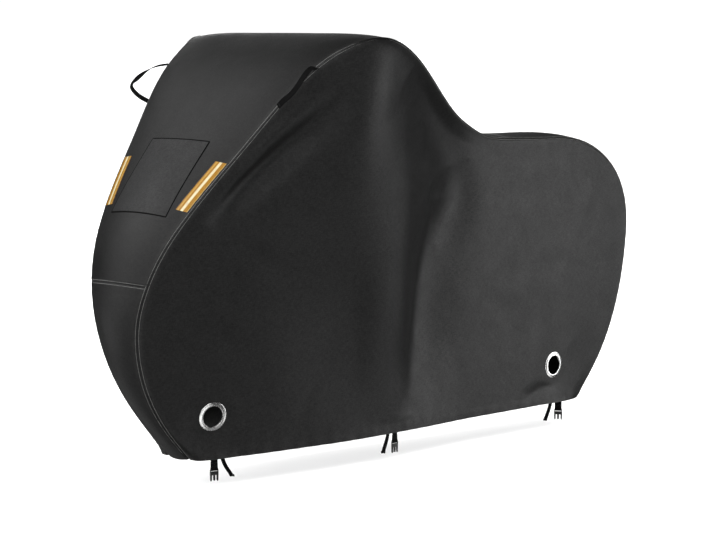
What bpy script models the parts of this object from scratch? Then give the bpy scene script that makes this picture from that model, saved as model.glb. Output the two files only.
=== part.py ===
"""Fitted bicycle cover in coated woven cloth, hanging as it does over a bicycle.

Two side panels are joined by one long gusset strip that runs up the nose, over
the handlebar crown, down the back slope, along the saddle and down the tail.
Metres, +Z up.  X runs from nose to tail, Y across (the left panel is at -Y).
The tables measure x from the nose's hem corner and z from the hem; make() then
moves everything so that the origin lies under the cloth at the crown's middle.
"""

import math

import bmesh
import bpy
import numpy as np
from mathutils import Matrix

# ------------------------------------------------------------------ sizes
CLOTH = 0.0015  # thickness of panels and gusset
GAP = 0.0003  # clearance between neighbouring pieces
SEWN_ON = 0.0006  # clearance under a piece sewn flat on a curved panel
PATCH_THICK = 0.0012
STRIP_THICK = 0.0010
WEBBING = 0.0016  # thickness of every webbing piece

ROWS = 20  # facets from hem to crown
COLUMNS = 36  # facets from nose to tail

# The seam between a side panel and the gusset, from the nose's hem to the tail's.
SEAM_COLUMNS = ("station", "x", "z", "half_width", "dome", "dome_power")
SEAM = (
    ("nose_hem", 0.002, 0.000, 0.042, 0.006, 2.0),
    ("chin", -0.084, 0.093, 0.045, 0.008, 2.0),
    ("chin_top", -0.151, 0.190, 0.057, 0.010, 2.0),
    ("nose_low", -0.192, 0.291, 0.073, 0.013, 2.0),
    ("nose", -0.207, 0.388, 0.092, 0.016, 2.0),
    ("nose_seam", -0.196, 0.480, 0.117, 0.020, 2.0),
    ("brow_low", -0.165, 0.566, 0.143, 0.024, 2.0),
    ("brow", -0.118, 0.645, 0.169, 0.027, 2.0),
    ("patch_mid", -0.034, 0.754, 0.206, 0.027, 2.0),
    ("patch_top", 0.056, 0.861, 0.242, 0.024, 2.4),
    ("loop_mid", 0.149, 0.970, 0.279, 0.020, 3.2),
    ("crown_rise", 0.220, 1.036, 0.303, 0.017, 4.0),
    ("crown_front", 0.302, 1.088, 0.331, 0.014, 5.0),
    ("crown", 0.400, 1.114, 0.372, 0.013, 6.0),
    ("crown_back", 0.470, 1.102, 0.368, 0.013, 6.0),
    ("slope_top", 0.542, 1.076, 0.345, 0.014, 5.0),
    ("slope_high", 0.642, 1.028, 0.300, 0.014, 4.0),
    ("slope_mid", 0.749, 0.964, 0.250, 0.012, 3.0),
    ("slope_low", 0.883, 0.889, 0.192, 0.008, 2.5),
    ("slope_foot", 0.965, 0.857, 0.162, 0.007, 2.0),
    ("saddle_front", 1.074, 0.825, 0.135, 0.007, 2.0),
    ("saddle_seam", 1.170, 0.817, 0.127, 0.009, 2.0),
    ("saddle", 1.304, 0.813, 0.120, 0.010, 2.0),
    ("saddle_back", 1.490, 0.802, 0.108, 0.012, 2.0),
    ("shoulder", 1.618, 0.757, 0.096, 0.012, 2.0),
    ("shoulder_low", 1.708, 0.683, 0.088, 0.012, 2.0),
    ("tail", 1.755, 0.586, 0.082, 0.012, 2.0),
    ("tail_mid", 1.759, 0.454, 0.077, 0.012, 2.0),
    ("tail_low", 1.738, 0.332, 0.074, 0.011, 2.0),
    ("tail_foot", 1.654, 0.134, 0.070, 0.009, 2.0),
    ("tail_hem", 1.545, 0.000, 0.068, 0.006, 2.0),
)

# The hem of a side panel in plan, from the nose corner to the tail corner.
HEM_COLUMNS = ("x", "half_width", "z")
HEM = (
    (0.002, 0.042, 0.000),
    (0.006, 0.073, 0.000),
    (0.034, 0.093, 0.000),
    (0.095, 0.100, 0.000),
    (0.200, 0.112, 0.000),
    (0.320, 0.123, 0.000),
    (0.465, 0.134, 0.000),
    (0.656, 0.132, 0.000),
    (0.840, 0.121, 0.000),
    (1.000, 0.104, 0.000),
    (1.180, 0.098, 0.000),
    (1.380, 0.092, 0.000),
    (1.490, 0.086, 0.000),
    (1.545, 0.068, 0.000),
)

# Extra columns of facets where the cloth is folded.
DENSITY_COLUMNS = ("at", "spread", "extra")
DENSITY = ((0.04, 0.05, 1.2), (0.38, 0.12, 1.6))


# ------------------------------------------------------------------ curves
def spline(knots, values):
    """Natural cubic curve through the values at the knots."""
    knots = np.asarray(knots, float)
    values = np.asarray(values, float)
    count = len(knots)
    step = np.diff(knots)
    matrix = np.zeros((count, count))
    right = np.zeros_like(values)
    matrix[0, 0] = matrix[-1, -1] = 1.0
    for i in range(1, count - 1):
        matrix[i, i - 1 : i + 2] = step[i - 1], 2 * (step[i - 1] + step[i]), step[i]
        right[i] = 6 * (
            (values[i + 1] - values[i]) / step[i]
            - (values[i] - values[i - 1]) / step[i - 1]
        )
    bend = np.linalg.solve(matrix, right)

    def at(where):
        where = np.clip(np.asarray(where, float), knots[0], knots[-1])
        i = np.clip(np.searchsorted(knots, where, side="right") - 1, 0, count - 2)
        low = ((knots[i + 1] - where) / step[i])[..., None]
        high = 1 - low
        size = (step[i] ** 2 / 6)[..., None]
        return (
            low * values[i]
            + high * values[i + 1]
            + ((low**3 - low) * bend[i] + (high**3 - high) * bend[i + 1]) * size
        )

    return at


def chords(points):
    return np.r_[0.0, np.cumsum(np.linalg.norm(np.diff(points, axis=0), axis=1))]


SEAM_TABLE = np.array([row[1:] for row in SEAM])
SEAM_KNOTS = chords(SEAM_TABLE[:, :3])
SEAM_AT = spline(SEAM_KNOTS, SEAM_TABLE)
STATION = {row[0]: knot for row, knot in zip(SEAM, SEAM_KNOTS)}
HEM_TABLE = np.array(HEM)
HEM_KNOTS = chords(HEM_TABLE)
HEM_AT = spline(HEM_KNOTS, HEM_TABLE)


def seam_xwz(s):
    """Seam point as x, half width, z."""
    return SEAM_AT(s)[..., [0, 2, 1]]


def hem_xwz(u):
    return HEM_AT(np.asarray(u) * HEM_KNOTS[-1])


def unit(vectors):
    return vectors / np.linalg.norm(vectors, axis=-1, keepdims=True)


# ------------------------------------------------------------------ side panel
def smooth(edge0, edge1, value):
    t = np.clip((value - edge0) / (edge1 - edge0), 0, 1)
    return t * t * (3 - 2 * t)


def panel_base(u, v):
    """Point of the left panel as x, distance from the middle plane, z."""
    u, v = np.broadcast_arrays(np.asarray(u, float), np.asarray(v, float))
    crown, shoulder, end = STATION["crown"], STATION["shoulder"], STATION["tail_hem"]
    bottom = hem_xwz(u)
    top = seam_xwz(crown + u * (shoulder - crown))
    front = seam_xwz(v * crown)
    back = seam_xwz(end - v * (end - shoulder))
    u, v = u[..., None], v[..., None]
    corners = (
        (1 - u) * (1 - v) * hem_xwz(0.0)
        + u * (1 - v) * hem_xwz(1.0)
        + (1 - u) * v * seam_xwz(crown)
        + u * v * seam_xwz(shoulder)
    )
    return (1 - v) * bottom + v * top + (1 - u) * front + u * back - corners


# Lines that lift or draw in the panel between its seams: where the cloth
# stands over the bar end, and where it lies against what is behind it.
GUIDE_COLUMNS = ("line", "x", "z", "half_width")
GUIDES = (
    ("crest", 0.400, 1.114, 0.372),
    ("crest", 0.404, 1.010, 0.356),
    ("crest", 0.412, 0.890, 0.334),
    ("crest", 0.430, 0.780, 0.308),
    ("crest", 0.470, 0.680, 0.281),
    ("crest", 0.520, 0.590, 0.256),
    ("crest", 0.566, 0.490, 0.229),
    ("crest", 0.588, 0.400, 0.209),
    ("crest", 0.596, 0.290, 0.186),
    ("crest", 0.592, 0.190, 0.164),
    ("crest", 0.582, 0.080, 0.143),
    ("wall", 0.742, 0.500, 0.152),
    ("wall", 0.735, 0.400, 0.150),
    ("wall", 0.722, 0.300, 0.145),
    ("wall", 0.705, 0.200, 0.140),
    ("fall", 0.930, 0.700, 0.140),
    ("fall", 0.905, 0.640, 0.136),
    ("fall", 0.850, 0.580, 0.136),
    ("fall", 0.815, 0.520, 0.136),
    ("fall", 0.792, 0.400, 0.132),
    ("fall", 0.772, 0.310, 0.130),
    ("fall", 0.748, 0.200, 0.128),
    ("foot", 0.440, 0.420, 0.186),
    ("foot", 0.445, 0.300, 0.166),
    ("foot", 0.448, 0.180, 0.147),
    ("breast", 0.100, 0.560, 0.206),
    ("breast", 0.090, 0.420, 0.165),
    ("breast", 0.090, 0.300, 0.138),
    ("breast", 0.110, 0.180, 0.119),
    ("flank", 1.050, 0.640, 0.132),
    ("flank", 1.080, 0.420, 0.122),
    ("flank", 1.080, 0.200, 0.109),
    ("rump", 1.450, 0.640, 0.108),
    ("rump", 1.480, 0.420, 0.102),
    ("rump", 1.460, 0.200, 0.094),
)
FIELD_COLUMNS, FIELD_ROWS = 61, 41  # nodes of the stretched cloth that follows them
STIFF = 0.022  # how widely the cloth rounds over a guide, in metres
HOLD = 6.0  # how firmly a guide holds it

# Folds: a curve through three points of the panel, its half width and its
# depth, positive where the cloth sinks in.
FOLD_COLUMNS = ("fold", "x0", "z0", "x1", "z1", "x2", "z2", "half_width", "depth")
FOLDS = (
    ("seam_groove", 0.262, 1.010, 0.120, 0.845, -0.010, 0.650, 0.026, 0.013),
    ("hem_crease", 1.260, 0.030, 1.350, 0.048, 1.440, 0.074, 0.020, 0.005),
    ("flank_groove", 0.610, 1.060, 0.700, 0.900, 0.800, 0.740, 0.055, 0.010),
)

# Eyelets: rings that clamp the cloth round an open hole.
EYELET_COLUMNS = ("eyelet", "x", "z")
EYELETS = (("eyelet_front", 0.040, 0.117), ("eyelet_rear", 1.405, 0.118))
RING_OUTER, RING_BORE, RING_BARREL = 0.0400, 0.0290, 0.0308
RING_FLANGE = 0.0022
CLOTH_HOLE = 0.0313
FLAT_WITHIN, FLAT_UNTIL = 0.045, 0.085  # the cloth is flat under a ring
RING_SEGMENTS = 28
RING_SQUARE = 0.044  # half the side of the flat square of facets under a ring


def find_uv(x, z):
    """Where on the panel a point of the side view lies."""
    x, z = np.broadcast_arrays(np.asarray(x, float), np.asarray(z, float))
    grid_u, grid_v = np.meshgrid(np.linspace(0, 1, 49), np.linspace(0, 1, 33))
    grid = panel_base(grid_u, grid_v)
    far = (grid[..., 0].ravel() - x.reshape(-1, 1)) ** 2
    far += (grid[..., 2].ravel() - z.reshape(-1, 1)) ** 2
    near = far.argmin(axis=1)
    u, v = grid_u.ravel()[near].copy(), grid_v.ravel()[near].copy()
    step = 1e-4
    for _ in range(12):
        here = panel_base(u, v)
        side = (panel_base(u + step, v) - panel_base(u - step, v)) / (2 * step)
        rise = (panel_base(u, v + step) - panel_base(u, v - step)) / (2 * step)
        miss_x, miss_z = x.ravel() - here[:, 0], z.ravel() - here[:, 2]
        det = side[:, 0] * rise[:, 2] - side[:, 2] * rise[:, 0]
        det = np.where(np.abs(det) < 1e-9, 1e-9, det)
        u = u + np.clip((miss_x * rise[:, 2] - miss_z * rise[:, 0]) / det, -0.1, 0.1)
        v = v + np.clip((side[:, 0] * miss_z - side[:, 2] * miss_x) / det, -0.1, 0.1)
        u, v = np.clip(u, 0, 1), np.clip(v, 0, 1)
    return u.reshape(x.shape), v.reshape(x.shape)


def stretched_field():
    """Distance from the middle plane over the panel, as cloth stretched between
    the seam, the hem and the guides, rounding over them."""
    us, vs = np.linspace(0, 1, FIELD_COLUMNS), np.linspace(0, 1, FIELD_ROWS)
    grid = panel_base(us[:, None], vs[None, :])
    index = np.arange(FIELD_COLUMNS * FIELD_ROWS).reshape(FIELD_COLUMNS, FIELD_ROWS)
    size = index.size
    pull = np.zeros((size, size))
    flat = grid[..., [0, 2]].reshape(-1, 2)

    def add(nodes, factors, weights):
        for a, fa in zip(nodes, factors):
            for b, fb in zip(nodes, factors):
                np.add.at(pull, (a.ravel(), b.ravel()), (weights * fa * fb).ravel())

    for ahead in (index, index.T):
        low, high = ahead[:-1], ahead[1:]
        length = np.linalg.norm(flat[high] - flat[low], axis=-1)
        add((low, high), (1.0, -1.0), 0.026 / np.maximum(length, 0.004))
        first, mid, last = ahead[:-2], ahead[1:-1], ahead[2:]
        length = np.linalg.norm(flat[last] - flat[first], axis=-1) / 2
        add(
            (first, mid, last),
            (1.0, -2.0, 1.0),
            (STIFF / np.maximum(length, 0.004)) ** 2,
        )
    right = np.zeros(size)
    for line in dict.fromkeys(row[0] for row in GUIDES):
        rows = np.array([row[1:] for row in GUIDES if row[0] == line])
        knots = chords(rows)
        fine = spline(knots, rows)(np.linspace(0, knots[-1], max(2, int(knots[-1] / 0.025))))
        u, v = find_uv(fine[:, 0], fine[:, 1])
        a, b = u * (FIELD_COLUMNS - 1), v * (FIELD_ROWS - 1)
        i = np.minimum(a.astype(int), FIELD_COLUMNS - 2)
        j = np.minimum(b.astype(int), FIELD_ROWS - 2)
        a, b = a - i, b - j
        nodes = np.stack([index[i, j], index[i + 1, j], index[i, j + 1], index[i + 1, j + 1]])
        parts = np.stack([(1 - a) * (1 - b), a * (1 - b), (1 - a) * b, a * b])
        for k in range(len(u)):
            pull[np.ix_(nodes[:, k], nodes[:, k])] += HOLD * np.outer(parts[:, k], parts[:, k])
            right[nodes[:, k]] += HOLD * parts[:, k] * fine[k, 2]
    edge = np.zeros((FIELD_COLUMNS, FIELD_ROWS), bool)
    edge[0], edge[-1], edge[:, 0], edge[:, -1] = True, True, True, True
    edge = edge.ravel()
    known = grid[..., 1].ravel()
    right -= pull[:, edge] @ known[edge]
    field = known.copy()
    field[~edge] = np.linalg.solve(pull[np.ix_(~edge, ~edge)], right[~edge])
    return field.reshape(FIELD_COLUMNS, FIELD_ROWS)


def cubic_weights(t):
    return np.stack(
        [
            ((-t + 2) * t - 1) * t / 2,
            ((3 * t - 5) * t * t + 2) / 2,
            ((-3 * t + 4) * t + 1) * t / 2,
            (t - 1) * t * t / 2,
        ]
    )


def sample(field, u, v):
    """Smooth value of a field at (u, v)."""
    padded = np.pad(field, 1, mode="reflect", reflect_type="odd")
    a, b = u * (field.shape[0] - 1), v * (field.shape[1] - 1)
    i = np.clip(np.floor(a).astype(int), 0, field.shape[0] - 2)
    j = np.clip(np.floor(b).astype(int), 0, field.shape[1] - 2)
    along, across = cubic_weights(a - i), cubic_weights(b - j)
    return sum(
        along[m] * across[n] * padded[i + m, j + n] for m in range(4) for n in range(4)
    )


def fold_depth(x, z):
    total = np.zeros(np.shape(x))
    ways = np.linspace(0, 1, 33)
    for _, x0, z0, x1, z1, x2, z2, half, depth in FOLDS:
        line_x = (1 - ways) ** 2 * x0 + 2 * ways * (1 - ways) * x1 + ways**2 * x2
        line_z = (1 - ways) ** 2 * z0 + 2 * ways * (1 - ways) * z1 + ways**2 * z2
        away = np.hypot(x[..., None] - line_x, z[..., None] - line_z)
        at = away.argmin(axis=-1)
        fade = np.sin(np.pi * np.clip(ways[at], 0.0, 1.0)) ** 0.7
        total += depth * fade * np.exp(-((away.min(axis=-1) / half) ** 2))
    return total


FIELD = stretched_field()


def raw_point(u, v):
    u, v = np.broadcast_arrays(np.asarray(u, float), np.asarray(v, float))
    point = panel_base(u, v)
    out = sample(FIELD, u, v)
    inside = smooth(0, 0.03, u) * smooth(0, 0.03, 1 - u) * smooth(0, 0.03, v) * smooth(0, 0.03, 1 - v)
    out = out - inside * fold_depth(point[..., 0], point[..., 2])
    return np.stack([point[..., 0], out, point[..., 2]], -1)


def slopes(x, z, step=0.004):
    """Distance out and its slopes along x and z at a point of the side view."""
    spots = np.array([[x, z], [x + step, z], [x - step, z], [x, z + step], [x, z - step]])
    out = raw_point(*find_uv(spots[:, 0], spots[:, 1]))[:, 1]
    return out[0], (out[1] - out[2]) / (2 * step), (out[3] - out[4]) / (2 * step)


EYELET_PLANES = {name: (x, z) + slopes(x, z) for name, x, z in EYELETS}


def panel_point(u, v):
    """Point of a panel's outer face as x, distance from the middle plane, z."""
    point = raw_point(u, v)
    for x, z, out, along, up in EYELET_PLANES.values():
        away = np.hypot(point[..., 0] - x, point[..., 2] - z)
        keep = smooth(FLAT_WITHIN, FLAT_UNTIL, away)
        plane = out + along * (point[..., 0] - x) + up * (point[..., 2] - z)
        point[..., 1] = keep * point[..., 1] + (1 - keep) * plane
    return point


def gusset_point(s, t):
    """Point of the gusset at seam length s, from t = -1 (left seam) to 1 (right)."""
    s, t = np.broadcast_arrays(np.asarray(s, float), np.asarray(t, float))
    x, z, half, dome, power = np.moveaxis(SEAM_AT(s), -1, 0)
    ahead = SEAM_AT(s + 0.002) - SEAM_AT(s - 0.002)
    out = unit(np.stack([-ahead[..., 1], ahead[..., 0]], -1))
    rise = dome * (1 - np.abs(t) ** power)
    return np.stack([x + out[..., 0] * rise, half * t, z + out[..., 1] * rise], -1)


# ------------------------------------------------------------------ pieces on the gusset
# Outlines in seam length from the front cross seam and distance from the middle.
PATCH_COLUMNS = ("edge", "s", "half_width")
PATCH = (("low", 0.196, 0.113), ("high", 0.440, 0.117))
STRIP_LOW, STRIP_HIGH = 0.222, 0.385  # seam lengths from the front cross seam
STRIP_WIDTH, STRIP_INSET = 0.038, 0.010  # the inset is measured from the seam

# Handle loops: how far along between the two sewn ends, out from the seam, and
# how the webbing is turned about its own run.
LOOP_COLUMNS = ("along", "out", "sag", "turn_deg")
LOOP_RIGHT = (
    (0.00, 0.002, 0.000, 20),
    (0.07, 0.022, 0.004, 20),
    (0.22, 0.041, 0.006, 35),
    (0.42, 0.053, 0.006, 65),
    (0.62, 0.060, 0.005, 60),
    (0.76, 0.062, 0.006, 25),
    (0.86, 0.048, 0.006, 15),
    (0.94, 0.026, 0.004, 15),
    (1.00, 0.002, 0.000, 15),
)
LOOP_LEFT = (
    (0.00, 0.002, 0.000, 20),
    (0.10, 0.020, -0.004, 20),
    (0.28, 0.033, -0.002, 20),
    (0.50, 0.040, 0.010, 20),
    (0.72, 0.034, 0.012, 20),
    (0.90, 0.018, 0.004, 20),
    (1.00, 0.002, 0.000, 20),
)
LOOP_WIDTH = 0.016
LOOP_TOP, LOOP_FOOT = 0.207, 0.350  # seam lengths back from the crown station

# Straps under the hem of the left panel.
STRAP_COLUMNS = ("station", "x", "tail_x", "tail_lean", "tail_turn_deg", "tail_width", "strap_turn_deg")
STRAPS = (
    ("front", 0.046, 0.078, 0.36, 55, 0.012, 0),
    ("middle", 0.690, 0.662, -0.34, 0, 0.014, 0),
    ("rear", 1.446, 1.404, -0.38, 70, 0.012, 60),
)
STRAP_WIDTH = 0.022
STRAP_INSIDE, STRAP_DROP = 0.018, 0.024  # above and below the hem
STRAP_CLEAR = 0.0020  # between a strap and the cloth it hangs behind
TAIL_DROP = 0.052
BUCKLE, BUCKLE_EDGE = 0.0060, 0.0004  # thickness and edge bevel
BUCKLE_OUTLINE = (  # across and down from the buckle's top edge, one side
    (0.0110, 0.000),
    (0.0125, -0.003),
    (0.0125, -0.014),
    (0.0118, -0.031),
    (0.0098, -0.034),
    (0.0076, -0.030),
    (0.0076, -0.017),
    (0.0030, -0.017),
    (0.0026, -0.030),
    (0.0014, -0.032),
)

COLOURS = {  # base colour, metallic, roughness
    "cloth": ((0.020, 0.020, 0.020), 0.0, 0.6),
    "patch_cloth": ((0.020, 0.020, 0.020), 0.0, 0.7),
    "reflective": ((0.80, 0.42, 0.08), 0.0, 0.35),
    "webbing": ((0.010, 0.010, 0.010), 0.0, 0.8),
    "ring_metal": ((0.80, 0.80, 0.80), 1.0, 0.2),
    "buckle_plastic": ((0.015, 0.015, 0.015), 0.0, 0.35),
}


def clear_scene():
    for old in list(bpy.data.objects):
        bpy.data.objects.remove(old, do_unlink=True)


def material(name):
    made = bpy.data.materials.get(name)
    if made is None:
        made = bpy.data.materials.new(name)
        made.use_nodes = True
        shader = made.node_tree.nodes["Principled BSDF"]
        colour, metallic, roughness = COLOURS[name]
        shader.inputs["Base Color"].default_value = (*colour, 1.0)
        shader.inputs["Metallic"].default_value = metallic
        shader.inputs["Roughness"].default_value = roughness
    return made


def highest_inner_point():
    s = np.linspace(STATION["crown_front"], STATION["slope_top"], 400)
    top = gusset_point(s, 0.0)
    return top[top[:, 2].argmax()] - np.array([0, 0, CLOTH])


def add_object(name, points, faces, finish, rounded=False):
    """One closed body as an object, its faces pointing out."""
    points = np.asarray(points, float).reshape(-1, 3) - ORIGIN
    corners = [points[list(face)] for face in faces]
    volume = sum(
        np.dot(c[0], np.cross(c[k], c[k + 1])) for c in corners for k in range(1, len(c) - 1)
    )
    if volume < 0:
        faces = [tuple(reversed(face)) for face in faces]
    mesh = bpy.data.meshes.new(name)
    mesh.from_pydata([tuple(p) for p in points], [], [tuple(map(int, f)) for f in faces])
    mesh.update()
    if rounded:
        mesh.shade_smooth()
    mesh.materials.append(material(finish))
    made = bpy.data.objects.new(name, mesh)
    bpy.context.scene.collection.objects.link(made)
    return made


def sheet_faces(columns, rows, back_turned):
    """Triangles of a slab of two like grids, outer then inner.  A wall's diagonal
    runs from the outer point with the lower index to the inner one with the
    higher, so that walls that face each other match; back_turned swaps it on
    the last column, where a panel's rows run against the seam."""
    index = np.arange(columns * rows).reshape(columns, rows)
    inner = columns * rows
    faces = []
    for i in range(columns - 1):
        for j in range(rows - 1):
            a, b = index[i, j], index[i + 1, j]
            c, d = index[i + 1, j + 1], index[i, j + 1]
            faces += [(a, b, c), (a, c, d)]
            faces += [(a + inner, c + inner, b + inner), (a + inner, d + inner, c + inner)]
    for edge, flip, turned in (
        (index[:, 0], False, False),
        (index[-1], False, back_turned),
        (index[:, -1], True, False),
        (index[0], True, False),
    ):
        for a, b in zip(edge[:-1], edge[1:]):
            if turned:
                pair = [(a, a + inner, b), (b, a + inner, b + inner)]
            else:
                pair = [(a, a + inner, b + inner), (a, b + inner, b)]
            faces += [face[::-1] if flip else face for face in pair]
    return faces


def sheet(name, outer, inner, finish, rounded=True, back_turned=False):
    columns, rows = outer.shape[:2]
    points = np.concatenate([outer.reshape(-1, 3), inner.reshape(-1, 3)])
    return add_object(name, points, sheet_faces(columns, rows, back_turned), finish, rounded)


def mirrored(points):
    return points * np.array([1, -1, 1])


def as_left(point):
    """World point of the left panel from x, distance out, z."""
    return np.stack([point[..., 0], -point[..., 1], point[..., 2]], -1)


def left_point(u, v):
    return as_left(panel_point(u, v))


def panel_normal(u, v):
    step = 1e-3
    side = left_point(np.clip(u + step, 0, 1), v) - left_point(np.clip(u - step, 0, 1), v)
    rise = left_point(u, np.clip(v + step, 0, 1)) - left_point(u, np.clip(v - step, 0, 1))
    return unit(np.cross(side, rise))


def gusset_normal(s, t):
    step = 1e-3
    end = STATION["tail_hem"]
    ahead = gusset_point(np.clip(s + step, 0, end), t) - gusset_point(np.clip(s - step, 0, end), t)
    over = gusset_point(s, np.clip(t + step, -1, 1)) - gusset_point(s, np.clip(t - step, -1, 1))
    return unit(np.cross(ahead, over))


def eyelet_square(name):
    """The least and greatest u and v of the square that holds a ring."""
    x, z = EYELET_PLANES[name][:2]
    u, v = find_uv(
        x + RING_SQUARE * np.array([-1, 1, 1, -1]), z + RING_SQUARE * np.array([-1, -1, 1, 1])
    )
    return u.min(), u.max(), v.min(), v.max()


def with_lines(values, spans, apart):
    """The values with both ends of every span put in and what crowds them taken out."""
    kept = []
    for low, high in sorted(spans):
        if kept and abs(low - kept[-2]) < apart and abs(high - kept[-1]) < apart:
            kept[-2:] = [min(low, kept[-2]), max(high, kept[-1])]
        else:
            kept += [low, high]
    spans = list(zip(kept[::2], kept[1::2]))
    free = [
        value
        for value in values
        if all(value < low - apart / 2 or value > high + apart / 2 for low, high in spans)
    ]
    return np.array(sorted(free + kept))


def columns_of_panel():
    fine = np.linspace(0, 1, 2001)
    density = 1 + sum(extra * np.exp(-(((fine - at) / spread) ** 2)) for at, spread, extra in DENSITY)
    filled = np.r_[0, np.cumsum((density[1:] + density[:-1]) / 2)]
    us = np.interp(np.linspace(0, filled[-1], COLUMNS + 1), filled, fine)
    us = with_lines(us, [eyelet_square(name)[:2] for name in EYELET_PLANES], 0.012)
    span = STATION["shoulder"] - STATION["crown"]
    seam = (STATION["saddle_seam"] - STATION["crown"]) / span
    us[np.abs(us - seam).argmin()] = seam  # a column ends on the saddle cross seam
    return us


def rows_of_panel():
    vs = np.linspace(0, 1, ROWS + 1)
    vs = with_lines(vs, [eyelet_square(name)[2:] for name in EYELET_PLANES], 0.02)
    seam = STATION["nose_seam"] / STATION["crown"]
    vs[np.abs(vs - seam).argmin()] = seam  # a row ends on the front cross seam
    return vs


class Rim:
    """Where a panel's edge meets the gusset: the mitred inner line and the gap."""

    def __init__(self, us, vs):
        crown, shoulder, end = STATION["crown"], STATION["shoulder"], STATION["tail_hem"]
        front = [(0.0, v, v * crown) for v in vs]
        top = [(u, 1.0, crown + u * (shoulder - crown)) for u in us[1:]]
        back = [(1.0, v, end - v * (end - shoulder)) for v in vs[-2::-1]]
        self.u, self.v, self.s = np.array(front + top + back).T
        left = -np.ones(len(self.s))
        self.outer = gusset_point(self.s, left)
        panel = panel_normal(self.u, self.v)
        over = gusset_normal(self.s, left)
        meet = np.maximum(1 + (panel * over).sum(-1, keepdims=True), 0.35)
        self.mitre = (panel + over) / meet
        run = np.gradient(self.outer, axis=0)
        apart = unit(np.cross(run, self.mitre))
        inward = left_point(
            np.clip(self.u, 0.01, 0.99), np.clip(self.v, 0.01, 0.99)
        ) - self.outer
        apart *= np.sign((apart * inward).sum(-1, keepdims=True))
        self.apart = apart * GAP / 2
        self.inner = self.outer - CLOTH * self.mitre


def side_panel(rim, us, vs):
    grid_u, grid_v = np.meshgrid(us, vs, indexing="ij")
    outer = left_point(grid_u, grid_v)
    normal = panel_normal(grid_u, grid_v)
    for name, (x, z, out, along, up) in EYELET_PLANES.items():
        low_u, high_u, low_v, high_v = eyelet_square(name)
        under = (grid_u > low_u - 0.02) & (grid_u < high_u + 0.02)
        under &= (grid_v > low_v - 0.03) & (grid_v < high_v + 0.03)
        flat = out + along * (outer[..., 0] - x) + up * (outer[..., 2] - z)
        outer[..., 1] = np.where(under, -flat, outer[..., 1])
        normal[under] = unit(np.array([-along, -1.0, -up]))
    inner = outer - CLOTH * normal
    for k, (u, v) in enumerate(zip(rim.u, rim.v)):
        i, j = np.abs(us - u).argmin(), np.abs(vs - v).argmin()
        outer[i, j] = rim.outer[k] + rim.apart[k]
        inner[i, j] = rim.inner[k] + rim.apart[k]
    left = sheet("side_panel_left", outer, inner, "cloth", back_turned=True)
    right = sheet(
        "side_panel_right", mirrored(outer), mirrored(inner), "cloth", back_turned=True
    )
    return left, right


ACROSS_AT = (-1.0, -0.86, -0.48, 0.0, 0.48, 0.86, 1.0)


def gusset(rim):
    t = np.array(ACROSS_AT)
    s = rim.s
    outer = gusset_point(s[:, None], t[None, :])
    inner = outer - CLOTH * gusset_normal(s[:, None] + 0 * t[None, :], t[None, :] + 0 * s[:, None])
    for side, flip in ((0, 1), (-1, -1)):
        turn = np.array([1, flip, 1])
        outer[:, side] = (rim.outer - rim.apart) * turn
        inner[:, side] = (rim.inner - rim.apart) * turn
    cuts = [0, np.abs(s - STATION["nose_seam"]).argmin(), np.abs(s - STATION["saddle_seam"]).argmin(), len(s) - 1]
    names = ("gusset_front_lower", "gusset_top", "gusset_rear")
    ahead = unit(np.gradient(outer, axis=0))
    across = unit(np.gradient(outer, axis=1))
    square = np.cross(unit(outer - inner), across)
    ahead *= GAP / 2 / np.abs((ahead * unit(square)).sum(-1, keepdims=True))
    for name, first, last in zip(names, cuts[:-1], cuts[1:]):
        part_out, part_in = outer[first : last + 1].copy(), inner[first : last + 1].copy()
        if first:
            part_out[0] += ahead[first]
            part_in[0] += ahead[first]
        if last < len(s) - 1:
            part_out[-1] -= ahead[last]
            part_in[-1] -= ahead[last]
        sheet(name, part_out, part_in, "cloth")


def sewn_piece(name, s, y, thick, finish, flip=1):
    """A flat piece following the gusset at seam lengths s and distances y across."""
    half = SEAM_AT(s)[..., 2]
    t = y / half
    base, normal = gusset_point(s, t), gusset_normal(s, t)
    inner = base + normal * SEWN_ON
    outer = base + normal * (SEWN_ON + thick)
    turn = np.array([1, flip, 1])
    return sheet(name, outer * turn, inner * turn, finish)


def patch_and_strips():
    cross = STATION["nose_seam"]
    share = np.linspace(0, 1, 9)
    (_, low, low_half), (_, high, high_half) = PATCH
    s = cross + low + (high - low) * share
    half = low_half + (high_half - low_half) * share
    across = np.linspace(-1, 1, 9)
    sewn_piece(
        "badge_patch",
        s[:, None] + 0 * across[None, :],
        half[:, None] * across[None, :],
        PATCH_THICK,
        "patch_cloth",
    )
    s = cross + np.linspace(STRIP_LOW, STRIP_HIGH, 8)
    edge = SEAM_AT(s)[:, 2] - STRIP_INSET
    across = np.linspace(0, 1, 3)
    y = -(edge[:, None] - STRIP_WIDTH * (1 - across[None, :]))
    s = s[:, None] + 0 * across[None, :]
    sewn_piece("reflective_strip_left", s, y, STRIP_THICK, "reflective")
    sewn_piece("reflective_strip_right", s, y, STRIP_THICK, "reflective", flip=-1)


def ribbon(name, path, width_way, width, thick, finish):
    """A flat band along a path, its width along width_way at each point."""
    run = unit(np.gradient(path, axis=0))
    way = unit(width_way - (width_way * run).sum(-1, keepdims=True) * run)
    face = np.cross(run, way)
    half = np.asarray(width, float).reshape(-1, 1) / 2 * np.ones((len(path), 1))
    outer = np.stack([path + way * half + face * thick / 2, path - way * half + face * thick / 2], 1)
    inner = np.stack([path + way * half - face * thick / 2, path - way * half - face * thick / 2], 1)
    return sheet(name, outer, inner, finish)


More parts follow.
